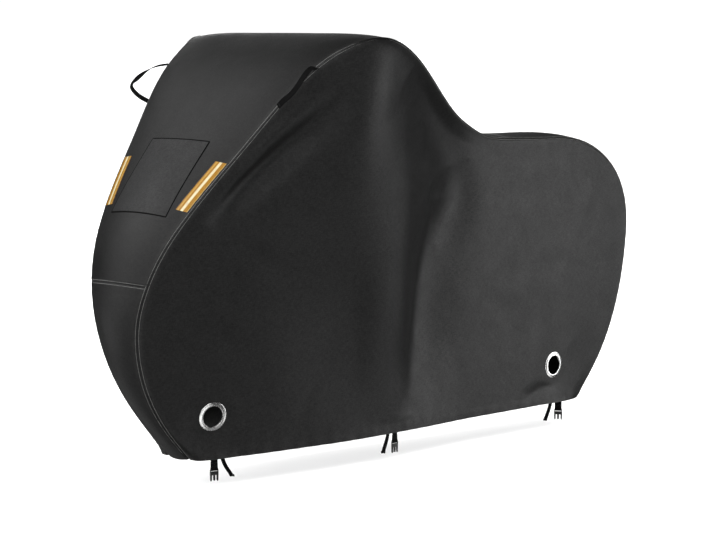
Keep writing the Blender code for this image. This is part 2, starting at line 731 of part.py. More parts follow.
def loop_path(rows, flip, count=25):
    """Path and width direction of a handle loop at the left (flip 1) or right seam."""
    top = gusset_point(STATION["crown"] - LOOP_TOP, -1.0)
    foot = gusset_point(STATION["crown"] - LOOP_FOOT, -1.0)
    s = STATION["crown"] - (LOOP_TOP + LOOP_FOOT) / 2
    u, v = 0.0, s / STATION["crown"]
    out = unit(gusset_normal(np.array(s), np.array(-1.0)) + panel_normal(np.array(u), np.array(v)))
    run = unit(foot - top)
    out = unit(out - (out @ run) * run)
    aside = np.cross(run, out)
    table = np.array(rows, float)
    plane = np.stack([table[:, 0] * np.linalg.norm(foot - top), table[:, 1], table[:, 2]], -1)
    knots = chords(plane)
    fine = spline(knots, np.c_[plane, table[:, 3]])(np.linspace(0, knots[-1], count))
    path = top + fine[:, :1] * run + fine[:, 1:2] * out + fine[:, 2:3] * np.array([0, 0, -1.0])
    tangent = unit(np.gradient(path, axis=0))
    across = unit(aside - (tangent @ aside)[:, None] * tangent)
    other = np.cross(tangent, across)
    turn = np.radians(fine[:, 3:4])
    way = across * np.cos(turn) + other * np.sin(turn)
    mirror = np.array([1, flip, 1])
    return path * mirror, way * mirror


def hem_frame(x):
    """Outer hem point of the left panel at x, the way along it and the way out."""
    u = np.interp(x, HEM_AT(np.linspace(0, HEM_KNOTS[-1], 400))[:, 0], np.linspace(0, 1, 400))
    here, there = left_point(np.array(u), np.array(0.0)), left_point(np.array(u + 0.004), np.array(0.0))
    along = unit(there - here)
    out = np.cross(along, np.array([0, 0, 1.0]))
    return here, along, out if out[1] < 0 else -out


def buckle(name, top, way, down):
    """Half of a side-release buckle: its outline drawn out and bevelled."""
    shape = bmesh.new()
    outline = [(a, d) for a, d in BUCKLE_OUTLINE] + [(-a, d) for a, d in reversed(BUCKLE_OUTLINE)]
    face = shape.faces.new([shape.verts.new((a, -BUCKLE / 2, d)) for a, d in outline])
    drawn = bmesh.ops.extrude_face_region(shape, geom=[face])["geom"]
    moved = [item for item in drawn if isinstance(item, bmesh.types.BMVert)]
    bmesh.ops.translate(shape, verts=moved, vec=(0, BUCKLE, 0))
    bmesh.ops.recalc_face_normals(shape, faces=shape.faces)
    mesh = bpy.data.meshes.new(name)
    shape.to_mesh(mesh)
    shape.free()
    mesh.materials.append(material("buckle_plastic"))
    made = bpy.data.objects.new(name, mesh)
    columns = (way, np.cross(-down, way), -down, top - ORIGIN)
    made.matrix_world = Matrix([[*row] for row in zip(*columns)] + [[0, 0, 0, 1]])
    bpy.context.scene.collection.objects.link(made)
    edge = made.modifiers.new("soft_edges", "BEVEL")
    edge.width = BUCKLE_EDGE
    edge.segments = 1
    edge.limit_method = "ANGLE"
    edge.angle_limit = math.radians(50)


def straps():
    down = np.array([0, 0, -1.0])
    for name, x, tail_x, lean, turn, tail_width, strap_turn in STRAPS:
        hem, along, out = hem_frame(x)
        turned = math.radians(strap_turn)
        way = along * math.cos(turned) + out * math.sin(turned)
        set_in = CLOTH + STRAP_CLEAR + WEBBING / 2 + abs(math.sin(turned)) * STRAP_WIDTH / 2
        start = hem - out * set_in
        drops = np.linspace(-STRAP_INSIDE, STRAP_DROP, 7)
        lean_in = slopes(x, 0.010)[2] * np.clip(-drops, 0, 1)
        path = start + drops[:, None] * down + out * lean_in[:, None]
        ribbon(f"strap_{name}", path, np.tile(way, (7, 1)), STRAP_WIDTH, WEBBING, "webbing")
        top = path[-1] + down * GAP
        buckle(f"buckle_{name}", top, way, down)
        hem, along, out = hem_frame(tail_x)
        turned = math.radians(turn)
        way = along * math.cos(turned) + out * math.sin(turned)
        set_in = CLOTH + STRAP_CLEAR + WEBBING / 2 + abs(math.sin(turned)) * tail_width / 2
        drops = np.linspace(-STRAP_INSIDE, TAIL_DROP, 9)
        below = np.clip(drops, 0, 1) / TAIL_DROP
        lean_in = slopes(tail_x, 0.010)[2] * np.clip(-drops, 0, 1)
        path = (
            hem
            - out * set_in
            + drops[:, None] * down
            + out * lean_in[:, None]
            + along * (lean * TAIL_DROP * below**1.4 * 1.6)[:, None]
            + out * (0.006 * below**2)[:, None]
        )
        ribbon(f"tail_{name}", path, np.tile(way, (9, 1)), tail_width, WEBBING, "webbing")


def eyelet_matrix(name, flip):
    """Placement of a ring: its Z axis along the cloth's outward normal."""
    x, z, out, along, up = EYELET_PLANES[name]
    across = unit(np.array([1.0, -along, 0.0]))
    normal = unit(np.cross(across, np.array([0.0, -up, 1.0])))
    turn = np.array([1, flip, 1])
    centre = np.array([x, -out, z]) * turn - ORIGIN
    across, normal = across * turn, normal * turn
    columns = (across, np.cross(normal, across), normal, centre)
    return Matrix([[*row] for row in zip(*columns)] + [[0, 0, 0, 1]])


def turned(name, profile, finish):
    """Mesh of a closed profile of radius and height, turned about Z."""
    shape = bmesh.new()
    corners = [shape.verts.new((radius, 0.0, height)) for radius, height in profile]
    for here, there in zip(corners, corners[1:] + corners[:1]):
        shape.edges.new((here, there))
    bmesh.ops.spin(
        shape,
        geom=[*shape.edges, *shape.verts],
        cent=(0, 0, 0),
        axis=(0, 0, 1),
        angle=2 * math.pi,
        steps=RING_SEGMENTS,
    )
    bmesh.ops.remove_doubles(shape, verts=shape.verts, dist=1e-6)
    bmesh.ops.recalc_face_normals(shape, faces=shape.faces)
    mesh = bpy.data.meshes.new(name)
    shape.to_mesh(mesh)
    shape.free()
    mesh.shade_smooth()
    mesh.set_sharp_from_angle(angle=math.radians(40))
    mesh.materials.append(material(finish))
    return mesh


def ring_profile():
    """Radius and height of the ring's section, height 0 on the cloth's outer face."""
    back = -CLOTH - GAP
    return (
        (RING_BORE, RING_FLANGE * 0.35 + GAP),
        (RING_BORE + 0.0022, RING_FLANGE + GAP),
        (RING_OUTER - 0.0028, RING_FLANGE + GAP),
        (RING_OUTER, RING_FLANGE * 0.3 + GAP),
        (RING_OUTER - 0.0004, GAP),
        (RING_BARREL, GAP),
        (RING_BARREL, back),
        (RING_OUTER - 0.003, back),
        (RING_OUTER - 0.003, back - 0.0012),
        (RING_BORE, back - 0.0012),
    )


def cut_and_ring(left, right):
    """Open a hole in each panel and set a ring in it."""
    ring = turned("eyelet", ring_profile(), "ring_metal")
    shape = bmesh.new()
    bmesh.ops.create_cone(
        shape, cap_ends=True, segments=RING_SEGMENTS, radius1=CLOTH_HOLE, radius2=CLOTH_HOLE, depth=0.04
    )
    hole = bpy.data.meshes.new("hole")
    shape.to_mesh(hole)
    shape.free()
    for name, _, _ in EYELETS:
        for side, flip, panel in (("left", 1, left), ("right", -1, right)):
            placed = []
            for label, mesh in ((f"{name}_{side}", ring), (f"{name}_{side}_cutter", hole)):
                made = bpy.data.objects.new(label, mesh)
                made.matrix_world = eyelet_matrix(name, flip)
                bpy.context.scene.collection.objects.link(made)
                placed.append(made)
            cutter = placed[1]
            cutter.hide_render = True
            cutter.display_type = "WIRE"
            cut = panel.modifiers.new(f"{name}_hole", "BOOLEAN")
            cut.operation = "DIFFERENCE"
            cut.solver = "EXACT"
            cut.object = cutter


def make():
    clear_scene()
    us, vs = columns_of_panel(), rows_of_panel()
    rim = Rim(us, vs)
    left, right = side_panel(rim, us, vs)
    gusset(rim)
    patch_and_strips()
    for name, rows, flip in (("left", LOOP_LEFT, 1), ("right", LOOP_RIGHT, -1)):
        path, way = loop_path(rows, flip)
        ribbon(f"handle_loop_{name}", path, way, LOOP_WIDTH, WEBBING, "webbing")
    straps()
    cut_and_ring(left, right)


ORIGIN = highest_inner_point()
make()
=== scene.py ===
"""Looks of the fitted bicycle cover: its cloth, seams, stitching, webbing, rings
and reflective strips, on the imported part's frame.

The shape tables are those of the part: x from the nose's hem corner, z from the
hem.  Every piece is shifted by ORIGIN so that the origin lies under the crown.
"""

import math

import bmesh
import bpy
import numpy as np
from mathutils import Matrix, Vector, noise
from mathutils.kdtree import KDTree


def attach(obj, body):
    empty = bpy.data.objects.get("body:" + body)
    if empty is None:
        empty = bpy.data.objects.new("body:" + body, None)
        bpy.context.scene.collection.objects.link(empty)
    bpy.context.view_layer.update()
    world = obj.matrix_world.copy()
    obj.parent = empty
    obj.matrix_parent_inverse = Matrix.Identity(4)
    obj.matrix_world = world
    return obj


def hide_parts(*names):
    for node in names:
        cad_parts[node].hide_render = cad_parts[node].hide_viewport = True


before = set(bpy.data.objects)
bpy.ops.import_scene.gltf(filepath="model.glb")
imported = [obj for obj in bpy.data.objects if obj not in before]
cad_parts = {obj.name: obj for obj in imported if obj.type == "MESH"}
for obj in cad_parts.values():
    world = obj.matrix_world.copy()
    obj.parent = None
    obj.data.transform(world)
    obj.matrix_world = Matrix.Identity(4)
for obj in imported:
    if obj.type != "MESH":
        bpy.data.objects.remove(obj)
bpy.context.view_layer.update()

# ------------------------------------------------------------------ sizes
CLOTH = 0.0015  # thickness of panels and gusset
GAP = 0.0003  # clearance between neighbouring pieces
SEWN_ON = 0.0006  # clearance under a piece sewn flat on a curved panel
PATCH_THICK = 0.0012
STRIP_THICK = 0.0010
WEBBING = 0.0016  # thickness of every webbing piece

# The seam between a side panel and the gusset, from the nose's hem to the tail's.
SEAM_COLUMNS = ("station", "x", "z", "half_width", "dome", "dome_power")
SEAM = (
    ("nose_hem", 0.002, 0.000, 0.042, 0.006, 2.0),
    ("chin", -0.084, 0.093, 0.045, 0.008, 2.0),
    ("chin_top", -0.151, 0.190, 0.057, 0.010, 2.0),
    ("nose_low", -0.192, 0.291, 0.073, 0.013, 2.0),
    ("nose", -0.207, 0.388, 0.092, 0.016, 2.0),
    ("nose_seam", -0.196, 0.480, 0.117, 0.020, 2.0),
    ("brow_low", -0.165, 0.566, 0.143, 0.024, 2.0),
    ("brow", -0.118, 0.645, 0.169, 0.027, 2.0),
    ("patch_mid", -0.034, 0.754, 0.206, 0.027, 2.0),
    ("patch_top", 0.056, 0.861, 0.242, 0.024, 2.4),
    ("loop_mid", 0.149, 0.970, 0.279, 0.020, 3.2),
    ("crown_rise", 0.220, 1.036, 0.303, 0.017, 4.0),
    ("crown_front", 0.302, 1.088, 0.331, 0.014, 5.0),
    ("crown", 0.400, 1.114, 0.372, 0.013, 6.0),
    ("crown_back", 0.470, 1.102, 0.368, 0.013, 6.0),
    ("slope_top", 0.542, 1.076, 0.345, 0.014, 5.0),
    ("slope_high", 0.642, 1.028, 0.300, 0.014, 4.0),
    ("slope_mid", 0.749, 0.964, 0.250, 0.012, 3.0),
    ("slope_low", 0.883, 0.889, 0.192, 0.008, 2.5),
    ("slope_foot", 0.965, 0.857, 0.162, 0.007, 2.0),
    ("saddle_front", 1.074, 0.825, 0.135, 0.007, 2.0),
    ("saddle_seam", 1.170, 0.817, 0.127, 0.009, 2.0),
    ("saddle", 1.304, 0.813, 0.120, 0.010, 2.0),
    ("saddle_back", 1.490, 0.802, 0.108, 0.012, 2.0),
    ("shoulder", 1.618, 0.757, 0.096, 0.012, 2.0),
    ("shoulder_low", 1.708, 0.683, 0.088, 0.012, 2.0),
    ("tail", 1.755, 0.586, 0.082, 0.012, 2.0),
    ("tail_mid", 1.759, 0.454, 0.077, 0.012, 2.0),
    ("tail_low", 1.738, 0.332, 0.074, 0.011, 2.0),
    ("tail_foot", 1.654, 0.134, 0.070, 0.009, 2.0),
    ("tail_hem", 1.545, 0.000, 0.068, 0.006, 2.0),
)

# The hem of a side panel in plan, from the nose corner to the tail corner.
HEM_COLUMNS = ("x", "half_width", "z")
HEM = (
    (0.002, 0.042, 0.000),
    (0.006, 0.073, 0.000),
    (0.034, 0.093, 0.000),
    (0.095, 0.100, 0.000),
    (0.200, 0.112, 0.000),
    (0.320, 0.123, 0.000),
    (0.465, 0.134, 0.000),
    (0.656, 0.132, 0.000),
    (0.840, 0.121, 0.000),
    (1.000, 0.104, 0.000),
    (1.180, 0.098, 0.000),
    (1.380, 0.092, 0.000),
    (1.490, 0.086, 0.000),
    (1.545, 0.068, 0.000),
)

# ------------------------------------------------------------------ curves
def spline(knots, values):
    """Natural cubic curve through the values at the knots."""
    knots = np.asarray(knots, float)
    values = np.asarray(values, float)
    count = len(knots)
    step = np.diff(knots)
    matrix = np.zeros((count, count))
    right = np.zeros_like(values)
    matrix[0, 0] = matrix[-1, -1] = 1.0
    for i in range(1, count - 1):
        matrix[i, i - 1 : i + 2] = step[i - 1], 2 * (step[i - 1] + step[i]), step[i]
        right[i] = 6 * (
            (values[i + 1] - values[i]) / step[i]
            - (values[i] - values[i - 1]) / step[i - 1]
        )
    bend = np.linalg.solve(matrix, right)

    def at(where):
        where = np.clip(np.asarray(where, float), knots[0], knots[-1])
        i = np.clip(np.searchsorted(knots, where, side="right") - 1, 0, count - 2)
        low = ((knots[i + 1] - where) / step[i])[..., None]
        high = 1 - low
        size = (step[i] ** 2 / 6)[..., None]
        return (
            low * values[i]
            + high * values[i + 1]
            + ((low**3 - low) * bend[i] + (high**3 - high) * bend[i + 1]) * size
        )

    return at


def chords(points):
    return np.r_[0.0, np.cumsum(np.linalg.norm(np.diff(points, axis=0), axis=1))]


SEAM_TABLE = np.array([row[1:] for row in SEAM])
SEAM_KNOTS = chords(SEAM_TABLE[:, :3])
SEAM_AT = spline(SEAM_KNOTS, SEAM_TABLE)
STATION = {row[0]: knot for row, knot in zip(SEAM, SEAM_KNOTS)}
HEM_TABLE = np.array(HEM)
HEM_KNOTS = chords(HEM_TABLE)
HEM_AT = spline(HEM_KNOTS, HEM_TABLE)


def seam_xwz(s):
    """Seam point as x, half width, z."""
    return SEAM_AT(s)[..., [0, 2, 1]]


def hem_xwz(u):
    return HEM_AT(np.asarray(u) * HEM_KNOTS[-1])


def unit(vectors):
    return vectors / np.linalg.norm(vectors, axis=-1, keepdims=True)


# ------------------------------------------------------------------ side panel
def smooth(edge0, edge1, value):
    t = np.clip((value - edge0) / (edge1 - edge0), 0, 1)
    return t * t * (3 - 2 * t)


def panel_base(u, v):
    """Point of the left panel as x, distance from the middle plane, z."""
    u, v = np.broadcast_arrays(np.asarray(u, float), np.asarray(v, float))
    crown, shoulder, end = STATION["crown"], STATION["shoulder"], STATION["tail_hem"]
    bottom = hem_xwz(u)
    top = seam_xwz(crown + u * (shoulder - crown))
    front = seam_xwz(v * crown)
    back = seam_xwz(end - v * (end - shoulder))
    u, v = u[..., None], v[..., None]
    corners = (
        (1 - u) * (1 - v) * hem_xwz(0.0)
        + u * (1 - v) * hem_xwz(1.0)
        + (1 - u) * v * seam_xwz(crown)
        + u * v * seam_xwz(shoulder)
    )
    return (1 - v) * bottom + v * top + (1 - u) * front + u * back - corners


# Lines that lift or draw in the panel between its seams: where the cloth
# stands over the bar end, and where it lies against what is behind it.
GUIDE_COLUMNS = ("line", "x", "z", "half_width")
GUIDES = (
    ("crest", 0.400, 1.114, 0.372),
    ("crest", 0.404, 1.010, 0.356),
    ("crest", 0.412, 0.890, 0.334),
    ("crest", 0.430, 0.780, 0.308),
    ("crest", 0.470, 0.680, 0.281),
    ("crest", 0.520, 0.590, 0.256),
    ("crest", 0.566, 0.490, 0.229),
    ("crest", 0.588, 0.400, 0.209),
    ("crest", 0.596, 0.290, 0.186),
    ("crest", 0.592, 0.190, 0.164),
    ("crest", 0.582, 0.080, 0.143),
    ("wall", 0.742, 0.500, 0.152),
    ("wall", 0.735, 0.400, 0.150),
    ("wall", 0.722, 0.300, 0.145),
    ("wall", 0.705, 0.200, 0.140),
    ("fall", 0.930, 0.700, 0.140),
    ("fall", 0.905, 0.640, 0.136),
    ("fall", 0.850, 0.580, 0.136),
    ("fall", 0.815, 0.520, 0.136),
    ("fall", 0.792, 0.400, 0.132),
    ("fall", 0.772, 0.310, 0.130),
    ("fall", 0.748, 0.200, 0.128),
    ("foot", 0.440, 0.420, 0.186),
    ("foot", 0.445, 0.300, 0.166),
    ("foot", 0.448, 0.180, 0.147),
    ("breast", 0.100, 0.560, 0.206),
    ("breast", 0.090, 0.420, 0.165),
    ("breast", 0.090, 0.300, 0.138),
    ("breast", 0.110, 0.180, 0.119),
    ("flank", 1.050, 0.640, 0.132),
    ("flank", 1.080, 0.420, 0.122),
    ("flank", 1.080, 0.200, 0.109),
    ("rump", 1.450, 0.640, 0.108),
    ("rump", 1.480, 0.420, 0.102),
    ("rump", 1.460, 0.200, 0.094),
)
FIELD_COLUMNS, FIELD_ROWS = 61, 41  # nodes of the stretched cloth that follows them
STIFF = 0.030  # how widely the cloth rounds over a guide, in metres
HOLD = 6.0  # how firmly a guide holds it

# Folds: a curve through three points of the panel, its half width and its
# depth, positive where the cloth sinks in.
FOLD_COLUMNS = ("fold", "x0", "z0", "x1", "z1", "x2", "z2", "half_width", "depth")
FOLDS = (
    ("hem_crease", 1.260, 0.030, 1.350, 0.048, 1.440, 0.074, 0.020, 0.005),
)

# Eyelets: rings that clamp the cloth round an open hole.
EYELET_COLUMNS = ("eyelet", "x", "z")
EYELETS = (("eyelet_front", 0.040, 0.117), ("eyelet_rear", 1.405, 0.118))
RING_OUTER, RING_BORE, RING_BARREL = 0.0400, 0.0290, 0.0308
RING_FLANGE = 0.0022
FLAT_WITHIN, FLAT_UNTIL = 0.045, 0.085  # the cloth is flat under a ring


def find_uv(x, z):
    """Where on the panel a point of the side view lies."""
    x, z = np.broadcast_arrays(np.asarray(x, float), np.asarray(z, float))
    grid_u, grid_v = np.meshgrid(np.linspace(0, 1, 49), np.linspace(0, 1, 33))
    grid = panel_base(grid_u, grid_v)
    far = (grid[..., 0].ravel() - x.reshape(-1, 1)) ** 2
    far += (grid[..., 2].ravel() - z.reshape(-1, 1)) ** 2
    near = far.argmin(axis=1)
    u, v = grid_u.ravel()[near].copy(), grid_v.ravel()[near].copy()
    step = 1e-4
    for _ in range(12):
        here = panel_base(u, v)
        side = (panel_base(u + step, v) - panel_base(u - step, v)) / (2 * step)
        rise = (panel_base(u, v + step) - panel_base(u, v - step)) / (2 * step)
        miss_x, miss_z = x.ravel() - here[:, 0], z.ravel() - here[:, 2]
        det = side[:, 0] * rise[:, 2] - side[:, 2] * rise[:, 0]
        det = np.where(np.abs(det) < 1e-9, 1e-9, det)
        u = u + np.clip((miss_x * rise[:, 2] - miss_z * rise[:, 0]) / det, -0.1, 0.1)
        v = v + np.clip((side[:, 0] * miss_z - side[:, 2] * miss_x) / det, -0.1, 0.1)
        u, v = np.clip(u, 0, 1), np.clip(v, 0, 1)
    return u.reshape(x.shape), v.reshape(x.shape)


def stretched_field():
    """Distance from the middle plane over the panel, as cloth stretched between
    the seam, the hem and the guides, rounding over them."""
    us, vs = np.linspace(0, 1, FIELD_COLUMNS), np.linspace(0, 1, FIELD_ROWS)
    grid = panel_base(us[:, None], vs[None, :])
    index = np.arange(FIELD_COLUMNS * FIELD_ROWS).reshape(FIELD_COLUMNS, FIELD_ROWS)
    size = index.size
    pull = np.zeros((size, size))
    flat = grid[..., [0, 2]].reshape(-1, 2)

    def add(nodes, factors, weights):
        for a, fa in zip(nodes, factors):
            for b, fb in zip(nodes, factors):
                np.add.at(pull, (a.ravel(), b.ravel()), (weights * fa * fb).ravel())

    for ahead in (index, index.T):
        low, high = ahead[:-1], ahead[1:]
        length = np.linalg.norm(flat[high] - flat[low], axis=-1)
        add((low, high), (1.0, -1.0), 0.026 / np.maximum(length, 0.004))
        first, mid, last = ahead[:-2], ahead[1:-1], ahead[2:]
        length = np.linalg.norm(flat[last] - flat[first], axis=-1) / 2
        add(
            (first, mid, last),
            (1.0, -2.0, 1.0),
            (STIFF / np.maximum(length, 0.004)) ** 2,
        )
    right = np.zeros(size)
    for line in dict.fromkeys(row[0] for row in GUIDES):
        rows = np.array([row[1:] for row in GUIDES if row[0] == line])
        knots = chords(rows)
        fine = spline(knots, rows)(np.linspace(0, knots[-1], max(2, int(knots[-1] / 0.025))))
        u, v = find_uv(fine[:, 0], fine[:, 1])
        a, b = u * (FIELD_COLUMNS - 1), v * (FIELD_ROWS - 1)
        i = np.minimum(a.astype(int), FIELD_COLUMNS - 2)
        j = np.minimum(b.astype(int), FIELD_ROWS - 2)
        a, b = a - i, b - j
        nodes = np.stack([index[i, j], index[i + 1, j], index[i, j + 1], index[i + 1, j + 1]])
        parts = np.stack([(1 - a) * (1 - b), a * (1 - b), (1 - a) * b, a * b])
        for k in range(len(u)):
            pull[np.ix_(nodes[:, k], nodes[:, k])] += HOLD * np.outer(parts[:, k], parts[:, k])
            right[nodes[:, k]] += HOLD * parts[:, k] * fine[k, 2]
    edge = np.zeros((FIELD_COLUMNS, FIELD_ROWS), bool)
    edge[0], edge[-1], edge[:, 0], edge[:, -1] = True, True, True, True
    edge = edge.ravel()
    known = grid[..., 1].ravel()
    right -= pull[:, edge] @ known[edge]
    field = known.copy()
    field[~edge] = np.linalg.solve(pull[np.ix_(~edge, ~edge)], right[~edge])
    return field.reshape(FIELD_COLUMNS, FIELD_ROWS)


def cubic_weights(t):
    return np.stack(
        [
            ((-t + 2) * t - 1) * t / 2,
            ((3 * t - 5) * t * t + 2) / 2,
            ((-3 * t + 4) * t + 1) * t / 2,
            (t - 1) * t * t / 2,
        ]
    )


def sample(field, u, v):
    """Smooth value of a field at (u, v)."""
    padded = np.pad(field, 1, mode="reflect", reflect_type="odd")
    a, b = u * (field.shape[0] - 1), v * (field.shape[1] - 1)
    i = np.clip(np.floor(a).astype(int), 0, field.shape[0] - 2)
    j = np.clip(np.floor(b).astype(int), 0, field.shape[1] - 2)
    along, across = cubic_weights(a - i), cubic_weights(b - j)
    return sum(
        along[m] * across[n] * padded[i + m, j + n] for m in range(4) for n in range(4)
    )


def fold_depth(x, z):
    total = np.zeros(np.shape(x))
    ways = np.linspace(0, 1, 33)
    for _, x0, z0, x1, z1, x2, z2, half, depth in FOLDS:
        line_x = (1 - ways) ** 2 * x0 + 2 * ways * (1 - ways) * x1 + ways**2 * x2
        line_z = (1 - ways) ** 2 * z0 + 2 * ways * (1 - ways) * z1 + ways**2 * z2
        away = np.hypot(x[..., None] - line_x, z[..., None] - line_z)
        at = away.argmin(axis=-1)
        fade = np.sin(np.pi * np.clip(ways[at], 0.0, 1.0)) ** 0.7
        total += depth * fade * np.exp(-((away.min(axis=-1) / half) ** 2))
    return total


def softened(field, passes):
    """The field with its ridges rounded as soft cloth rounds them, its edges kept."""
    for _ in range(passes):
        mid = field[1:-1, 1:-1]
        beside = field[:-2, 1:-1] + field[2:, 1:-1] + field[1:-1, :-2] + field[1:-1, 2:]
        corners = field[:-2, :-2] + field[2:, :-2] + field[:-2, 2:] + field[2:, 2:]
        field = field.copy()
        field[1:-1, 1:-1] = (4 * mid + 2 * beside + corners) / 16
    return field


FIELD = softened(stretched_field(), 3)


def raw_point(u, v):
    u, v = np.broadcast_arrays(np.asarray(u, float), np.asarray(v, float))
    point = panel_base(u, v)
    out = sample(FIELD, u, v)
    inside = smooth(0, 0.03, u) * smooth(0, 0.03, 1 - u) * smooth(0, 0.03, v) * smooth(0, 0.03, 1 - v)
    out = out - inside * fold_depth(point[..., 0], point[..., 2])
    return np.stack([point[..., 0], out, point[..., 2]], -1)


def slopes(x, z, step=0.004):
    """Distance out and its slopes along x and z at a point of the side view."""
    spots = np.array([[x, z], [x + step, z], [x - step, z], [x, z + step], [x, z - step]])
    out = raw_point(*find_uv(spots[:, 0], spots[:, 1]))[:, 1]
    return out[0], (out[1] - out[2]) / (2 * step), (out[3] - out[4]) / (2 * step)


EYELET_PLANES = {name: (x, z) + slopes(x, z) for name, x, z in EYELETS}


def panel_point(u, v):
    """Point of a panel's outer face as x, distance from the middle plane, z."""
    point = raw_point(u, v)
    for x, z, out, along, up in EYELET_PLANES.values():
        away = np.hypot(point[..., 0] - x, point[..., 2] - z)
        keep = smooth(FLAT_WITHIN, FLAT_UNTIL, away)
        plane = out + along * (point[..., 0] - x) + up * (point[..., 2] - z)
        point[..., 1] = keep * point[..., 1] + (1 - keep) * plane
    return point


def gusset_point(s, t):
    """Point of the gusset at seam length s, from t = -1 (left seam) to 1 (right)."""
    s, t = np.broadcast_arrays(np.asarray(s, float), np.asarray(t, float))
    x, z, half, dome, power = np.moveaxis(SEAM_AT(s), -1, 0)
    ahead = SEAM_AT(s + 0.002) - SEAM_AT(s - 0.002)
    out = unit(np.stack([-ahead[..., 1], ahead[..., 0]], -1))
    rise = dome * (1 - np.abs(t) ** power)
    return np.stack([x + out[..., 0] * rise, half * t, z + out[..., 1] * rise], -1)


# ------------------------------------------------------------------ pieces on the gusset
# Outlines in seam length from the front cross seam and distance from the middle.
PATCH_COLUMNS = ("edge", "s", "half_width")
PATCH = (("low", 0.196, 0.113), ("high", 0.440, 0.117))
STRIP_LOW, STRIP_HIGH = 0.222, 0.385  # seam lengths from the front cross seam
STRIP_WIDTH, STRIP_INSET = 0.038, 0.010  # the inset is measured from the seam

# Handle loops: how far along between the two sewn ends, out from the seam, and
# how the webbing is turned about its own run.
LOOP_COLUMNS = ("along", "out", "sag", "turn_deg")
LOOP_RIGHT = (
    (0.00, 0.002, 0.000, 20),
    (0.07, 0.022, 0.004, 20),
    (0.22, 0.041, 0.006, 35),
    (0.42, 0.053, 0.006, 65),
    (0.62, 0.060, 0.005, 60),
    (0.76, 0.062, 0.006, 25),
    (0.86, 0.048, 0.006, 15),
    (0.94, 0.026, 0.004, 15),
    (1.00, 0.002, 0.000, 15),
)
LOOP_LEFT = (
    (0.00, 0.002, 0.000, 20),
    (0.10, 0.020, -0.004, 20),
    (0.28, 0.033, -0.002, 20),
    (0.50, 0.040, 0.010, 20),
    (0.72, 0.034, 0.012, 20),
    (0.90, 0.018, 0.004, 20),
    (1.00, 0.002, 0.000, 20),
)
LOOP_WIDTH = 0.016
LOOP_TOP, LOOP_FOOT = 0.207, 0.350  # seam lengths back from the crown station

# Straps under the hem of the left panel.
STRAP_COLUMNS = ("station", "x", "tail_x", "tail_lean", "tail_turn_deg", "tail_width", "strap_turn_deg")
STRAPS = (
    ("front", 0.046, 0.078, 0.36, 55, 0.012, 0),
    ("middle", 0.690, 0.662, -0.34, 0, 0.014, 0),
    ("rear", 1.446, 1.404, -0.38, 70, 0.012, 60),
)
STRAP_WIDTH = 0.022
STRAP_INSIDE, STRAP_DROP = 0.018, 0.024  # above and below the hem
STRAP_CLEAR = 0.0020  # between a strap and the cloth it hangs behind
TAIL_DROP = 0.052
BUCKLE, BUCKLE_EDGE = 0.0060, 0.0004  # thickness and edge bevel
BUCKLE_OUTLINE = (  # across and down from the buckle's top edge, one side
    (0.0110, 0.000),
    (0.0125, -0.003),
    (0.0125, -0.014),
    (0.0118, -0.031),
    (0.0098, -0.034),
    (0.0076, -0.030),
    (0.0076, -0.017),
    (0.0030, -0.017),
    (0.0026, -0.030),
    (0.0014, -0.032),
)


def highest_inner_point():
    s = np.linspace(STATION["crown_front"], STATION["slope_top"], 400)
    top = gusset_point(s, 0.0)
    return top[top[:, 2].argmax()] - np.array([0, 0, CLOTH])


def as_left(point):
    """World point of the left panel from x, distance out, z."""
    return np.stack([point[..., 0], -point[..., 1], point[..., 2]], -1)


def left_point(u, v):
    return as_left(panel_point(u, v))


def panel_normal(u, v):
    step = 1e-3
    side = left_point(np.clip(u + step, 0, 1), v) - left_point(np.clip(u - step, 0, 1), v)
    rise = left_point(u, np.clip(v + step, 0, 1)) - left_point(u, np.clip(v - step, 0, 1))
    return unit(np.cross(side, rise))


def gusset_normal(s, t):
    step = 1e-3
    end = STATION["tail_hem"]
    ahead = gusset_point(np.clip(s + step, 0, end), t) - gusset_point(np.clip(s - step, 0, end), t)
    over = gusset_point(s, np.clip(t + step, -1, 1)) - gusset_point(s, np.clip(t - step, -1, 1))
    return unit(np.cross(ahead, over))


def loop_path(rows, flip, count=25):
    """Path and width direction of a handle loop at the left (flip 1) or right seam."""
    top = gusset_point(STATION["crown"] - LOOP_TOP, -1.0)
    foot = gusset_point(STATION["crown"] - LOOP_FOOT, -1.0)
    s = STATION["crown"] - (LOOP_TOP + LOOP_FOOT) / 2
    u, v = 0.0, s / STATION["crown"]
    out = unit(gusset_normal(np.array(s), np.array(-1.0)) + panel_normal(np.array(u), np.array(v)))
    run = unit(foot - top)
    out = unit(out - (out @ run) * run)
    aside = np.cross(run, out)
    table = np.array(rows, float)
    plane = np.stack([table[:, 0] * np.linalg.norm(foot - top), table[:, 1], table[:, 2]], -1)
    knots = chords(plane)
    fine = spline(knots, np.c_[plane, table[:, 3]])(np.linspace(0, knots[-1], count))
    path = top + fine[:, :1] * run + fine[:, 1:2] * out + fine[:, 2:3] * np.array([0, 0, -1.0])
    tangent = unit(np.gradient(path, axis=0))
    across = unit(aside - (tangent @ aside)[:, None] * tangent)
    other = np.cross(tangent, across)
    turn = np.radians(fine[:, 3:4])
    way = across * np.cos(turn) + other * np.sin(turn)
    mirror = np.array([1, flip, 1])
    return path * mirror, way * mirror


def hem_frame(x):
    """Outer hem point of the left panel at x, the way along it and the way out."""
    u = np.interp(x, HEM_AT(np.linspace(0, HEM_KNOTS[-1], 400))[:, 0], np.linspace(0, 1, 400))
    here, there = left_point(np.array(u), np.array(0.0)), left_point(np.array(u + 0.004), np.array(0.0))
    along = unit(there - here)
    out = np.cross(along, np.array([0, 0, 1.0]))
    return here, along, out if out[1] < 0 else -out


ORIGIN = highest_inner_point()


